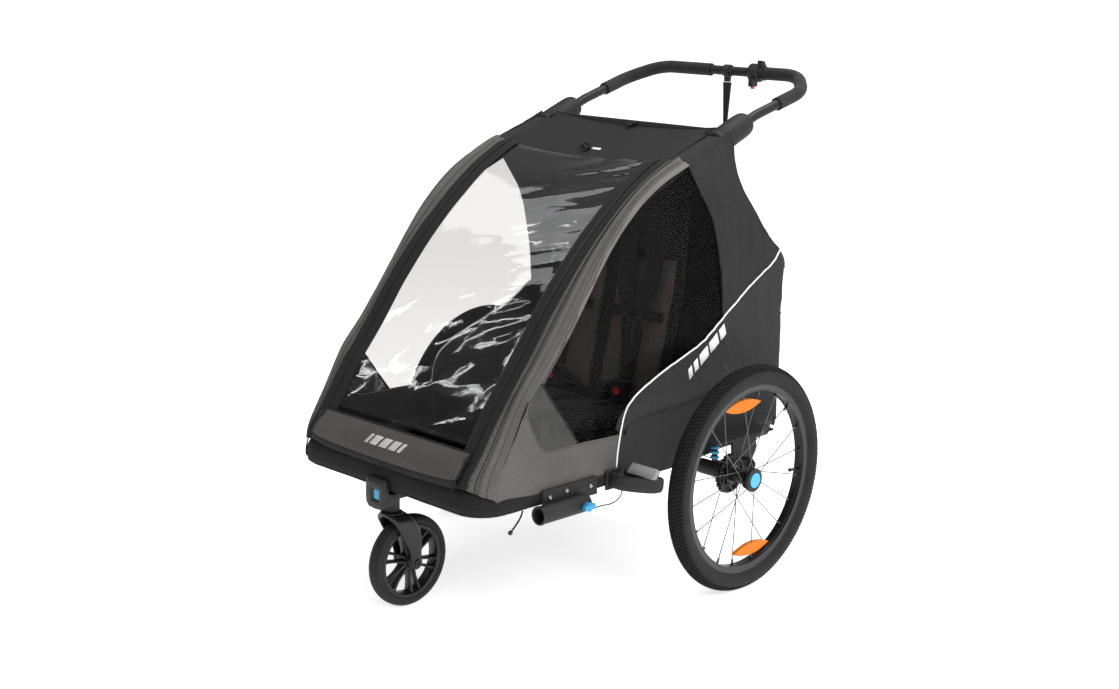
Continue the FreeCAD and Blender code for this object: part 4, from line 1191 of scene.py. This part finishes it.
# ---------------------------------------------------------------- wheels
def build_tyre(tag, sign):
    """A bicycle tyre with small slanted tread blocks."""
    pitch_count, per_pitch = 176, 6
    ring = 226.5
    across = np.radians(np.concatenate([np.linspace(-142, -62, 9), np.linspace(-58, 58, 33),
                                        np.linspace(62, 142, 9)]))
    count = pitch_count * per_pitch
    rows = []
    for i, a in enumerate(circle(count)):
        row = []
        for phi in across:
            v = phi / math.radians(58)
            r = 22.4
            if abs(v) <= 1.0:
                phase = (i / per_pitch + 1.1 * abs(v) + (0.5 if v > 0 else 0.0)) % 1.0
                lane = (abs(v) * 4.0) % 1.0
                r = 23.5 if phase < 0.68 and 0.14 < lane < 0.9 else 21.7
            elif abs(phi) < math.radians(78):
                r = 22.6 if (i // 3) % 2 else 22.3
            elif abs(abs(phi) - math.radians(112)) < 0.06:
                r = 22.8
            q = ring + r * math.cos(phi)
            row.append(P(sign * WHEEL_X + r * math.sin(phi), AXLE_Y + q * math.cos(a),
                         AXLE_Z + q * math.sin(a)))
        inner = ring - 21
        for x in (11.5, 0.0, -11.5):
            row.append(P(sign * WHEEL_X + x, AXLE_Y + inner * math.cos(a), AXLE_Z + inner * math.sin(a)))
        rows.append(row)
    tyre = grid("tyre_" + tag, rows, "tyre", close_rows=True, close_cols=True)
    # painted shade: the recessed tread faces between the blocks take the darker copy of the rubber
    tyre.data.materials.append(MAT["painted_shade_rubber"])
    for poly in tyre.data.polygons:
        c = poly.center
        q = math.hypot(c.y * 1000 - AXLE_Y - MIDDLE_Y, c.z * 1000 - AXLE_Z)
        poly.use_smooth = q < ring + 11
        depth = math.hypot(abs(c.x) * 1000 - WHEEL_X, q - ring)
        if q >= ring + 11 and depth < 22.9:
            poly.material_index = 1
    ride(tyre, "rear_wheel_" + tag, ["rear_tyre_" + tag])


def build_rear_wheel(tag, sign):
    build_tyre(tag, sign)
    body = "rear_wheel_" + tag
    centre = P(sign * WHEEL_X, AXLE_Y, AXLE_Z)
    rim = lathe("rim_lip_" + tag, [(-12.6, 211.6), (-13.6, 209.5), (-13.4, 204), (-12.4, 200.5),
                                   (-9.6, 196.6), (-7.6, 194.8),
                               (7.6, 194.8), (9.6, 196.6), (12.4, 200.5), (13.4, 204), (13.6, 209.5),
                                   (12.6, 211.6),
                               (11.4, 209.5), (11.2, 203), (6, 199.5), (-6, 199.5), (-11.2, 203),
                                   (-11.4, 209.5)],
                centre, "rim", 144, "X", True)
    ride(rim, body)
    parts = []
    for i in range(20):
        a = 2 * math.pi * (i + 0.5) / 20
        x = sign * (WHEEL_X + (2 if i % 2 else -2))
        q0, q1 = 181.5, 195.2
        pts = [P(x, AXLE_Y + q * math.cos(a), AXLE_Z + q * math.sin(a)) for q in (q0, q0 + 3, q1)]
        parts.append(tube("n", pts, [0.0018, 0.0023, 0.0025], "chrome", 8))
    ride(join("nipples_" + tag, parts), body)
    stem_a = math.radians(-5)
    pts = [P(sign * WHEEL_X, AXLE_Y + q * math.cos(stem_a), AXLE_Z + q * math.sin(stem_a))
           for q in (160, 161, 164, 166, 167, 175, 196)]
    valve = tube("valve_" + tag, pts, [0.0022, 0.0042, 0.0042, 0.0042, 0.0031, 0.0031, 0.0036], "gloss", 12)
    ride(valve, body)

    # elastomer column: three blue rings on a dark core
    rings = []
    x, low = sign * 322, 267.8
    waist = [(z, 6.2 + 0.5 * math.sin(z)) for z in np.linspace(1, 39.4, 14)]
    core = [(0, 4.5), (0.2, 7)] + waist + [(40.2, 7), (40.4, 4.5)]
    core_piece = lathe("spring_core_" + tag, core, P(x, AXLE_Y, low), "plastic", 32, "Z")
    for k in range(3):
        z = 9 + 11.5 * k
        prof = [(z + 3.4 * math.cos(a), 8.0 + 2.1 * math.sin(a)) for a in circle(12)]
        rings.append(lathe("r", prof, P(x, AXLE_Y, low), "blue", 40, "Z", True))
    for name, piece, key in (("spring_core_" + tag, core_piece, "black_plastic"),
                             ("spring_rings_" + tag, join("spring_rings_" + tag, rings), "elastomer")):
        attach(piece, "base")
        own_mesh(piece)
        if name.startswith("spring_rings"):
            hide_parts("suspension_spring_" + tag)

    # brake drum ribs behind the toothed ring
    ribs = []
    for a in circle(16):
        rib = [P(sign * x, AXLE_Y + q * math.cos(a + w), AXLE_Z + q * math.sin(a + w)) for x, q, w in
               ((369, 18, 0), (370, 27, 0.05), (371, 36, 0.12))]
        ribs.append(tube("rib", rib, 0.0016, "gloss", 6))
    ring = lathe("rr", [(368, 37.5), (368, 41.5), (371.5, 41.5), (371.5, 37.5)], P(0, AXLE_Y, AXLE_Z),
                 "gloss", 72, "X", True)
    if sign < 0:
        ring.data.transform(Matrix.Scale(-1, 4, (1, 0, 0)))
        ring.data.flip_normals()
    ribs.append(ring)
    ride(join("brake_ribs_" + tag, ribs), body)


def build_caster():
    centre = P(0, CASTER_Y, CASTER_Z)
    outer = [(-15.2, 79.2), (-16.4, 82), (-16.9, 86), (-16.2, 90), (-14, 93.8), (-11.5, 95.8), (-10.6, 95.0),
             (-9.4, 95.1),
             (-8.6, 96.9), (-4, 97.9), (-2.2, 98), (-1.7, 96.6), (1.7, 96.6), (2.2, 98), (4, 97.9),
             (8.6, 96.9),
             (9.4, 95.1), (10.6, 95.0), (11.5, 95.8), (14, 93.8), (16.2, 90), (16.9, 86), (16.4, 82),
             (15.2, 79.2),
             (8, 78.6), (-8, 78.6)]
    tyre = lathe("caster_tyre_skin", outer, centre, "caster_tyre", 120, "X", True)
    ride(tyre, "caster_wheel", ["caster_tyre"])
    # rim: two deep rings, a web of twin spokes and a hub
    parts = [lathe("a", [(-15.6, 79.6), (-15.9, 76), (-14.6, 71.5), (-12, 70), (12, 70), (14.6, 71.5),
                         (15.9, 76), (15.6, 79.6),
                         (10, 79), (9, 74.5), (-9, 74.5), (-10, 79)], centre, "gloss", 96, "X", True),
             lathe("b", [(-22, 6), (-22, 11), (-20.5, 13.5), (-17, 14.6), (17, 14.6), (20.5, 13.5), (22, 11),
                         (22, 6)],
                   centre, "gloss", 48, "X", True)]
    for k in range(6):
        for side_shift in (-1, 1):
            rows = []
            for t in np.linspace(0, 1, 14):
                q = 11 + 62 * t
                spread = side_shift * (4.5 + 6.5 * t)
                half_w = 4.6 - 1.6 * math.sin(math.pi * t)
                half_x = 12.5 - 4.5 * math.sin(math.pi * min(1, t * 1.05))
                row = []
                for ang in circle(12):
                    cx = math.copysign(abs(math.cos(ang)) ** 0.5, math.cos(ang))
                    cy = math.copysign(abs(math.sin(ang)) ** 0.5, math.sin(ang))
                    local = Vector((cx * half_x, spread + cy * half_w, q))
                    local.rotate(Matrix.Rotation(math.radians(60 * k + 12), 3, "X"))
                    row.append(centre + local / 1000)
                rows.append(row)
            parts.append(grid("s", rows, "gloss", close_cols=True, caps=True))
    ride(join("caster_rim_web", parts), "caster_wheel", ["caster_rim"])

    # fork: one arched piece from axle to axle, with bosses and a bolt
    path = [(-27, -462, 98), (-27.4, -465, 125), (-28, -474, 155), (-28, -488, 182), (-24.5, -499, 198),
            (-14, -505, 207),
            (0, -507, 209.5)]
    path += [(-x, y, z) for x, y, z in reversed(path[:-1])]
    line = spline(path, 80)
    rows = []
    for i, p in enumerate(line):
        t = abs(2 * i / 79 - 1)
        d = line[min(i + 1, 79)] - line[max(i - 1, 0)]
        d[1] = 0
        d /= np.linalg.norm(d)
        n = np.array([-d[2], 0, d[0]])
        wide = 13.0 + 13.0 * smoothstep((1.0 - t) * 1.7)
        wide -= 3.5 * smoothstep((0.35 - t) * 3)
        thick = 4.2 + 2.2 * smoothstep((0.6 - t) * 2.2)
        row = []
        for a in circle(24):
            c = math.copysign(abs(math.cos(a)) ** 0.75, math.cos(a))
            s = math.copysign(abs(math.sin(a)) ** 0.75, math.sin(a))
            q = p + np.array([0, 1, 0]) * wide * c + n * thick * s
            row.append(P(*q))
        rows.append(row)
    fork = [grid("f", rows, "gloss", close_cols=True, caps=True)]
    for s in (-1, 1):
        boss = [(s * 22.6, 5.3), (s * 22.6, 12.5), (s * 24, 13.8), (s * 30, 13.8), (s * 31.4, 12.2),
                (s * 31.4, 5.3)]
        fork.append(lathe("boss", boss, centre, "gloss", 48, "X", True))
        head = [(s * 31.4, 1.2), (s * 31.4, 8.4), (s * 33.6, 8.4), (s * 34.8, 7.2), (s * 34.8, 4.2),
                (s * 32.6, 4.0), (s * 32.4, 1.2)]
        fork.append(lathe("head", head, centre, "steel", 30, "X", True))
    fork.append(lathe("collar", [(212, 24), (213.4, 22), (213.6, 12), (203, 9)], P(0, STEM_Y, 0), "gloss", 48,
                      "Z", True))
    fork.append(lathe("stem", [(205, 9.6), (214, 10), (236, 10), (236, 4)], P(0, STEM_Y, 0), "steel", 32, "Z",
                      True))
    ride(join("fork_body", fork), "caster_fork", ["caster_fork"])


# ---------------------------------------------------------------- handle and hardware
def on_rail(x, distance):
    """A point on the handle tube's line, by distance from its bracket."""
    y = 206 + 0.9223 * distance
    z = 968.5 + 0.3865 * distance
    return P(x, y, z)


def build_handle():
    for tag, sign in SIDES:
        spots = [(-38.5, 20.5), (-37, 23.4), (-33, 24.8), (-27, 25), (-25, 24.2), (-22, 24.2), (-20, 25),
                 (10, 25.3), (40, 25.2),
                 (56, 25), (58, 24.2), (61, 24.2), (63, 25), (69, 24.8), (72.5, 23.2), (74, 19), (74.2, 11.6)]
        pts = [on_rail(sign * 256, d) for d, r in spots]
        sleeve = tube("bracket_shell_" + tag, pts,
                      [(r + 2.2 * smoothstep((70 - d) / 12)) / 1000 for d, r in spots], "caster_tyre", 48)
        ride(sleeve, "upper_frame", ["handle_brackets"])
        # small steel edge below and lanyard knot at the inner front
        low = on_rail(sign * 258, -34)
        clip = [low + Vector((sign * 0.006, 0.002, -0.024)), low + Vector((sign * 0.006, 0.018, -0.0285)),
                low + Vector((sign * 0.005, 0.030, -0.024))]
        ride(tube("bracket_clip_" + tag, clip, 0.0016, "chrome", 8), "upper_frame")
        loops = []
        for k, (dx, dy, dz, r) in enumerate(((-24, -30, 8, 8), (-30, -24, 2, 6), (-22, -38, -2, 7))):
            base = on_rail(sign * 256, 0) + Vector((sign * dx, dy, dz)) / 1000
            pts = [base + Vector((math.cos(a) * r * 0.6, math.sin(a) * r, math.cos(a + k) * r * 0.8)) / 1000
                   for a in np.linspace(0, 5.6, 20)]
            loops.append(tube("l", pts, 0.0016, "webbing", 8))
        ride(join("bracket_loops_" + tag, loops), "upper_frame")

    # brake switch housing and strap clamp, with softened shapes
    housing = lathe("h", [(70, 11.6), (70, 19), (72.5, 21.6), (96, 21.6), (98.5, 19), (98.5, 11.6)],
                    P(0, BAR_Y, BAR_Z), "plastic", 48, "X", True)
    nose = block("n", (80, 507, 1058), (94, 529, 1078), "plastic", 3.0)
    cap = block("c", (79, 520, 1103), (95, 546, 1110.5), "plastic", 3.0)
    clamp = lathe("k", [(-9, 11.6), (-9, 14.2), (-7.6, 15), (7.6, 15), (9, 14.2), (9, 11.6)],
                  P(0, BAR_Y, BAR_Z), "plastic", 40, "X", True)
    drop = block("d", (-8, 528, 1064), (8, 538, 1077), "plastic", 2.0)
    ride(join("bar_clamp_bodies", [housing, nose, cap, clamp, drop]), "handlebar",
         ["bar_clamps"])
    ring = [P(14 + 5.5 * math.cos(a), BAR_Y - 14, BAR_Z - 6 + 7 * math.sin(a))
            for a in circle(24, True)]
    ride(tube("clamp_ring", ring, 0.0016, "gloss", 8, False), "handlebar")


def screw_head(name, at, normal, radius, key="steel"):
    """A domed head with a six-lobed recess."""
    n = Vector(normal).normalized()
    side_dir = n.orthogonal().normalized()
    other = n.cross(side_dir)
    rows = []
    prof = [(0.0, 1.0), (0.45, 1.0), (0.75, 0.86), (0.88, 0.62), (0.88, 0.48), (0.35, 0.40), (0.33, 0.02)]
    for h, r in prof:
        row = []
        for a in circle(24):
            lobe = 1 + (0.16 * math.cos(6 * a) if r < 0.55 else 0)
            spoke = side_dir * math.cos(a) + other * math.sin(a)
            row.append(at + n * (h * radius * 0.6) + spoke * r * lobe * radius)
        rows.append(row)
    return grid(name, rows, key, close_cols=True, caps=True)


def build_hardware():
    for tag, sign in SIDES:
        heads = []
        for y, z in ((262, 296), (312, 296), (300, 232)):
            heads.append(screw_head("s", P(sign * 296.4, y, z), (sign, 0, 0), 0.0055))
        heads.append(screw_head("s", P(sign * 332, 274, 235), (sign, 0, 0), 0.007))
        ride(join("plate_screws_" + tag, heads), "base")
    heads = [screw_head("s", P(299, y, z), (1, 0, 0), 0.005, "bright_steel")
             for y, z in ((-304, 287), (-352, 283), (-233, 283))]
    ride(join("socket_screws", heads), "base")
    lip = lathe("socket_lip", [(-398.4, 15.4), (-399, 17), (-398, 19.2), (-394, 19.4), (-393, 18.6),
                               (-393, 15.6)],
                P(313, 0, 258), "steel", 48, "Y", True)
    ride(lip, "base")
    # screws in the lip of the caster bracket
    heads = [screw_head("s", P(x, -548, 282), (0, -1, 0), 0.0042) for x in (-18, 18)]
    ride(join("bracket_screws", heads), "base")


def ring_of(corners, count):
    """Evenly spaced points round a closed outline of straight sides."""
    return spline(corners + [corners[0]], count + 1, False)[:-1]


def build_bracket():
    """The caster's carrier: a shallow front block, a boss round the stem and a web back to the tube."""
    outer = [(-30, 292), (30, 292), (31, 252), (28.5, 236), (20, 228.5), (0, 227), (-20, 228.5), (-28.5, 236),
             (-31, 252)]
    window = [(-11.2, 268.5), (11.2, 268.5), (11.2, 257), (11.2, 246), (6, 245.4), (0, 245.4), (-6, 245.4),
              (-11.2, 246), (-11.2, 257)]
    rows = []
    for depth, grow, corners in ((-541.0, 0.99, outer), (-550.0, 0.99, outer), (-551.6, 0.965, outer),
                                 (-551.6, 1.12, window), (-550.8, 1.0, window), (-541.5, 1.0, window)):
        rows.append([P(x * grow, depth, 256 + (z - 256) * grow) for x, z in ring_of(corners, 72)])
    front = grid("front", rows, "plastic", close_cols=True, caps=True)
    rows = []
    low_outer = [(x, min(z, 262)) for x, z in outer]
    for depth, grow in ((-546, 0.99), (-522, 0.99), (-519, 0.975), (-518, 0.94)):
        rows.append([P(x * grow, depth, 238 + (z - 238) * grow) for x, z in ring_of(low_outer, 72)])
    body = grid("body", rows, "plastic", close_cols=True, caps=True)
    web = block("web", (-12, -524, 240), (12, -468, 262), "plastic", 2.0)
    boss = lathe("boss", [(214.2, 11.2), (214.2, 15), (215.6, 16.4), (260, 16.4), (262, 15), (262, 11.2)],
                 P(0, STEM_Y, 0), "plastic", 48, "Z", True)
    ride(join("caster_carrier", [front, body, web, boss]), "base", ["caster_bracket"])


def build_guards():
    """Moulded guards in front of the rear wheels: a rounded tray with a rolled rim."""
    outline = spline([(294, -176), (318, -176), (345, -166), (372, -150), (391, -134), (398, -121),
                      (391, -115),
                      (370, -116), (340, -124), (310, -133), (294, -138), (294, -176)], 91)[:-1]
    middle = np.array([345.0, -144.0])
    for tag, sign in SIDES:
        rows = []
        for share, z in ((0.55, 265.6), (0.80, 266), (0.93, 269), (0.985, 276), (1.0, 284), (1.0, 294),
                         (0.98, 298),
                         (0.945, 299), (0.90, 297.5), (0.86, 291), (0.80, 288.5), (0.4, 288)):
            rows.append([P(sign * (middle[0] + (x - middle[0]) * share), middle[1] + (y - middle[1]) * share,
                           z)
                         for x, y in outline])
        tray = grid("g", rows, "plastic", close_cols=True, caps=True)
        grip = block("grip", (min(sign * 293.2, sign * 299), -184, 262),
                     (max(sign * 293.2, sign * 299), -130, 304),
                     "plastic", 2.0)
        ride(join("guard_tray_" + tag, [tray, grip]), "base",
             ["wheel_guards"] if sign > 0 else ())
        rows = []
        for x, drop in ((318, 5), (319.5, 1), (322, 0), (386, 0), (390, 1), (391.5, 6)):
            rows.append([P(sign * x, y + 2, z - drop * lift) for y, z, lift in
                         ((-147, 298.6, 0), (-148.5, 300.4, 0.2), (-131.5, 317.2, 1), (-129.5, 317.4, 1),
                          (-127.5, 315, 0.8), (-134, 298.4, 0))])
        lens = grid("guard_lens_" + tag, rows, "lens", close_cols=True, caps=True)
        ride(lens, "base", ["guard_reflectors"] if sign > 0 else ())


def build_pulls():
    """Cord pulls on the two zip sliders."""
    for tag, sign in SIDES:
        x = sign * 226
        line = spline([(x, -545, 330), (x - sign * 2, -551, 318), (x - sign * 4, -554, 304),
                       (x - sign * 3, -553, 292)], 16)
        pull = tube("zip_pull_" + tag, [P(*p) for p in line], [0.0016] * 8 + [0.0024] * 7 + [0.0018],
                    "webbing", 10)
        ride(pull, "zip_slider_" + tag)


# ---------------------------------------------------------------- cords
def nurbs(name, route, radius):
    """A round cord along a NURBS line, in metres."""
    curve = bpy.data.curves.new(name, "CURVE")
    curve.dimensions = "3D"
    curve.resolution_u = 16
    line = curve.splines.new("NURBS")
    line.points.add(len(route) - 1)
    for point, p in zip(line.points, route):
        point.co = (*p, 1)
    line.order_u = 3
    line.use_endpoint_u = True
    obj = bpy.data.objects.new(name, curve)
    bpy.context.scene.collection.objects.link(obj)
    curve.bevel_depth = radius
    curve.bevel_resolution = 4
    curve.use_fill_caps = True
    return obj


def line_points(obj):
    """The points of a curve's own line, in order."""
    depth = obj.data.bevel_depth
    obj.data.bevel_depth = 0
    bpy.context.view_layer.update()
    deps = bpy.context.evaluated_depsgraph_get()
    mesh = bpy.data.meshes.new_from_object(obj.evaluated_get(deps))
    pts = [v.co.copy() for v in mesh.vertices]
    bpy.data.meshes.remove(mesh)
    obj.data.bevel_depth = depth
    return pts


def path_length(pts):
    return sum((b - a).length for a, b in zip(pts, pts[1:]))


def build_cords():
    # wrist strap: a round cord down from the bar clamp to a flat webbing loop
    route = [(0, 0.537, 1.063), (0.0015, 0.535, 1.020), (-0.0005, 0.5375, 0.978), (0.0005, 0.536, 0.940)]
    strap = nurbs("wrist_cord", route, 0.0022)
    strap.data.materials.append(MAT["webbing"])
    centre_line = line_points(strap)
    length = path_length(centre_line)
    last = len(centre_line) - 1
    ribbon = thicken(grid("wrist_ribbon", [[p + Vector((w * (2.0 - 1.3 * (i / last) ** 0.6), 0.25 * w, 0))
                                            for w in (-0.0055, -0.002, 0.002, 0.0055)]
                                           for i, p in enumerate(centre_line)], "black"), 5.2, 0.0)
    rows = []
    for i in range(73):
        a = 2 * math.pi * i / 72
        y = 532 + 26 * math.sin(a) * (0.62 - 0.38 * math.cos(a))
        z = 899 + 41.0 * math.cos(a)
        rows.append([P(0.5 + w + 1.2 * math.sin(a), y, z) for w in (-7, -3.5, 0, 3.5, 7)])
    loop = thicken(grid("wrist_loop", rows, "webbing"), 1.6, 0.0)
    stitch = block("wrist_stitch", (-7.8, 528.5, 930), (8.8, 535.5, 942), "webbing", 2.0)
    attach(strap, "handlebar")
    ride(loop, "handlebar")
    ride(stitch, "handlebar")
    ride(ribbon, "handlebar")
    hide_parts("wrist_strap")

    # lanyard from the tow pin back to the guard, as a tube mesh between the two
    route = [(0.338, -0.253, 0.252), (0.333, -0.234, 0.250), (0.325, -0.213, 0.245), (0.315, -0.191, 0.239),
             (0.307, -0.170, 0.235), (0.303, -0.151, 0.236), (0.302, -0.137, 0.243), (0.302, -0.133, 0.254),
             (0.303, -0.142, 0.267)]
    guide = nurbs("guide", route, 0.00125)
    pts = line_points(guide)
    bpy.data.objects.remove(guide)
    lanyard = tube("pin_cord", pts, 0.00125, "plastic", 12)
    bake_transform(lanyard)
    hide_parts("pin_lanyard")

    # short strap under the socket with its end piece
    route = [(0.2849, -0.4104, 0.2653), (0.2875, -0.414, 0.261), (0.290, -0.423, 0.252),
             (0.2915, -0.434, 0.243),
             (0.292, -0.447, 0.233)]
    strap = nurbs("tow_cord", route, 0.0018)
    strap.data.materials.append(MAT["webbing"])
    length = path_length(line_points(strap))
    last = Vector(route[-1])
    down = (last - Vector(route[-2])).normalized()
    tip = tube("tow_cord_tip", [last - down * 0.001, last, last + down * 0.003, last + down * 0.0068,
                                last + down * 0.0079],
               [0.0022, 0.0040, 0.0045, 0.0043, 0.0026], "gloss", 16)
    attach(strap, "base")
    ride(tip, "base")
    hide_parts("tow_strap")


# ---------------------------------------------------------------- CAD nodes that stay, with their materials
def dress_nodes():
    plan = {
        "base_tube": "tube", "frame_fittings": "tube", "upper_frame": "tube", "rear_strut": "tube",
            "rear_uprights": "steel",
        "handlebar": "tube", "foam_grips": "foam", "brake_lever": "plastic", "brake_button": "red",
        "lock_button_left": "plastic", "lock_button_right": "plastic", "zip_slider_left": "steel",
            "zip_slider_right": "steel",
        "tow_pin": "blue", "buckle_button_left": "red", "buckle_button_right": "red",
            "crotch_buckles": "gloss",
        "caster_button": "blue", "suspension_plates": "textured", "tow_socket": "textured"}
    for tag in ("left", "right"):
        plan.update({"rear_rim_" + tag: "rim", "rear_hub_" + tag: "gloss", "rear_spokes_" + tag: "chrome",
                     "spoke_reflectors_" + tag: "orange", "hub_button_" + tag: "pale_blue",
                     "swing_arm_" + tag: "plastic"})
    for node, key in plan.items():
        paint(node, key)
    for node, width in (("tow_socket", 1.0), ("suspension_plates", 1.0),
                        ("tow_pin", 1.2), ("brake_lever", 1.2), ("crotch_buckles", 1.4),
                        ("swing_arm_left", 1.0), ("swing_arm_right", 1.0)):
        modify(nodes[node], "WELD", merge_threshold=0.00001)
        modify(nodes[node], "BEVEL", width=width / 1000, segments=3, limit_method="ANGLE",
               angle_limit=math.radians(50), harden_normals=False)


# ---------------------------------------------------------------- stage, light and camera
def build_stage():
    mesh = bpy.data.meshes.new("floor")
    s = 60
    mesh.from_pydata([(-s, -s, 0), (s, -s, 0), (s, s, 0), (-s, s, 0)], [], [(0, 1, 2, 3)])
    floor = bpy.data.objects.new("floor", mesh)
    mat, tree, bsdf = new_material("studio_floor", (0.95, 0.95, 0.95), 0.6, spec=0.2)
    bsdf.inputs["Emission Color"].default_value = (1, 1, 1, 1)
    bsdf.inputs["Emission Strength"].default_value = 0.62
    mesh.materials.append(mat)
    bpy.context.scene.collection.objects.link(floor)
    floor.location.z = min(0.0, cad_box[0][2]) - 0.0002

    # the sky is bright on the right and dim in front, and white below the horizon
    world = bpy.data.worlds.new("studio")
    bpy.context.scene.world = world
    world.use_nodes = True
    tree = world.node_tree
    back = tree.nodes["Background"]
    coords = add(tree, "ShaderNodeTexCoord")
    toward = add(tree, "ShaderNodeVectorMath", operation="DOT_PRODUCT")
    toward.inputs[1].default_value = (0.86, 0.30, 0.41)
    tree.links.new(coords.outputs["Generated"], toward.inputs[0])
    sky = add(tree, "ShaderNodeMapRange")
    for key, value in (("From Min", -0.45), ("From Max", 0.85), ("To Min", 0.16), ("To Max", 1.25)):
        sky.inputs[key].default_value = value
    tree.links.new(toward.outputs["Value"], sky.inputs["Value"])
    split = add(tree, "ShaderNodeSeparateXYZ")
    tree.links.new(coords.outputs["Generated"], split.inputs[0])
    low = add(tree, "ShaderNodeMath", operation="LESS_THAN")
    low.inputs[1].default_value = 0.015
    tree.links.new(split.outputs["Z"], low.inputs[0])
    level = add(tree, "ShaderNodeMath", operation="MAXIMUM")
    tree.links.new(low.outputs["Value"], level.inputs[0])
    tree.links.new(sky.outputs["Result"], level.inputs[1])
    tree.links.new(level.outputs["Value"], back.inputs["Strength"])
    back.inputs["Color"].default_value = (1.0, 1.0, 1.0, 1)

    def area(name, at, target, size, size_y, power):
        light = bpy.data.lights.new(name, "AREA")
        light.shape = "RECTANGLE"
        light.size, light.size_y, light.energy = size, size_y, power
        obj = bpy.data.objects.new(name, light)
        obj.location = at
        obj.rotation_euler = (Vector(target) - Vector(at)).to_track_quat("-Z", "Y").to_euler()
        bpy.context.scene.collection.objects.link(obj)

    area("key", (-1.4, -0.75, 3.0), (0, -0.15, 0.7), 2.2, 1.3, 18)
    area("key_strip", (-1.5, -1.25, 2.85), (0, -0.15, 0.7), 1.8, 0.04, 2.0)
    area("front_strip", (-2.5, -1.9, 1.9), (0, -0.2, 0.65), 0.03, 1.8, 3.2)
    area("top", (0.5, 1.0, 3.0), (0, 0, 0.7), 2.2, 0.7, 45)
    area("right", (3.2, -1.0, 2.2), (0, 0, 0.5), 1.4, 1.4, 45)


IMAGE_WIDTH, FOCAL_PX = 1119, 1620      # width of the image and the lens's focal length, in its pixels


def build_camera():
    data = bpy.data.cameras.new("camera")
    cam = bpy.data.objects.new("camera", data)
    bpy.context.scene.collection.objects.link(cam)
    data.sensor_width = 36.0
    data.lens = data.sensor_width * FOCAL_PX / IMAGE_WIDTH
    data.clip_end = 200
    target = Vector((0.200, -0.230, 0.561))
    azimuth, elevation, roll = math.radians(43.37), math.radians(12.52), math.radians(1.85)
    away = Vector((math.sin(azimuth) * math.cos(elevation), -math.cos(azimuth) * math.cos(elevation),
                   math.sin(elevation)))
    cam.location = target + away * 3.308
    right = Vector((math.cos(azimuth), math.sin(azimuth), 0))
    up = away.cross(right)
    right2 = right * math.cos(roll) + up * math.sin(roll)
    up2 = up * math.cos(roll) - right * math.sin(roll)
    turn = Matrix((right2, up2, away)).transposed()
    cam.matrix_world = Matrix.Translation(cam.location) @ turn.to_4x4()
    bpy.context.scene.camera = cam


for side_tag, side_sign in SIDES:
    build_side(side_tag, side_sign)
    build_strip(side_tag, side_sign)
    build_rear_wheel(side_tag, side_sign)
build_window()
build_roof()
build_back()
build_bumper()
build_cabin()
build_caster()
build_handle()
build_hardware()
build_bracket()
build_guards()
build_pulls()
build_cords()
dress_nodes()
build_stage()
build_camera()
bpy.context.scene.view_settings.view_transform = "Standard"
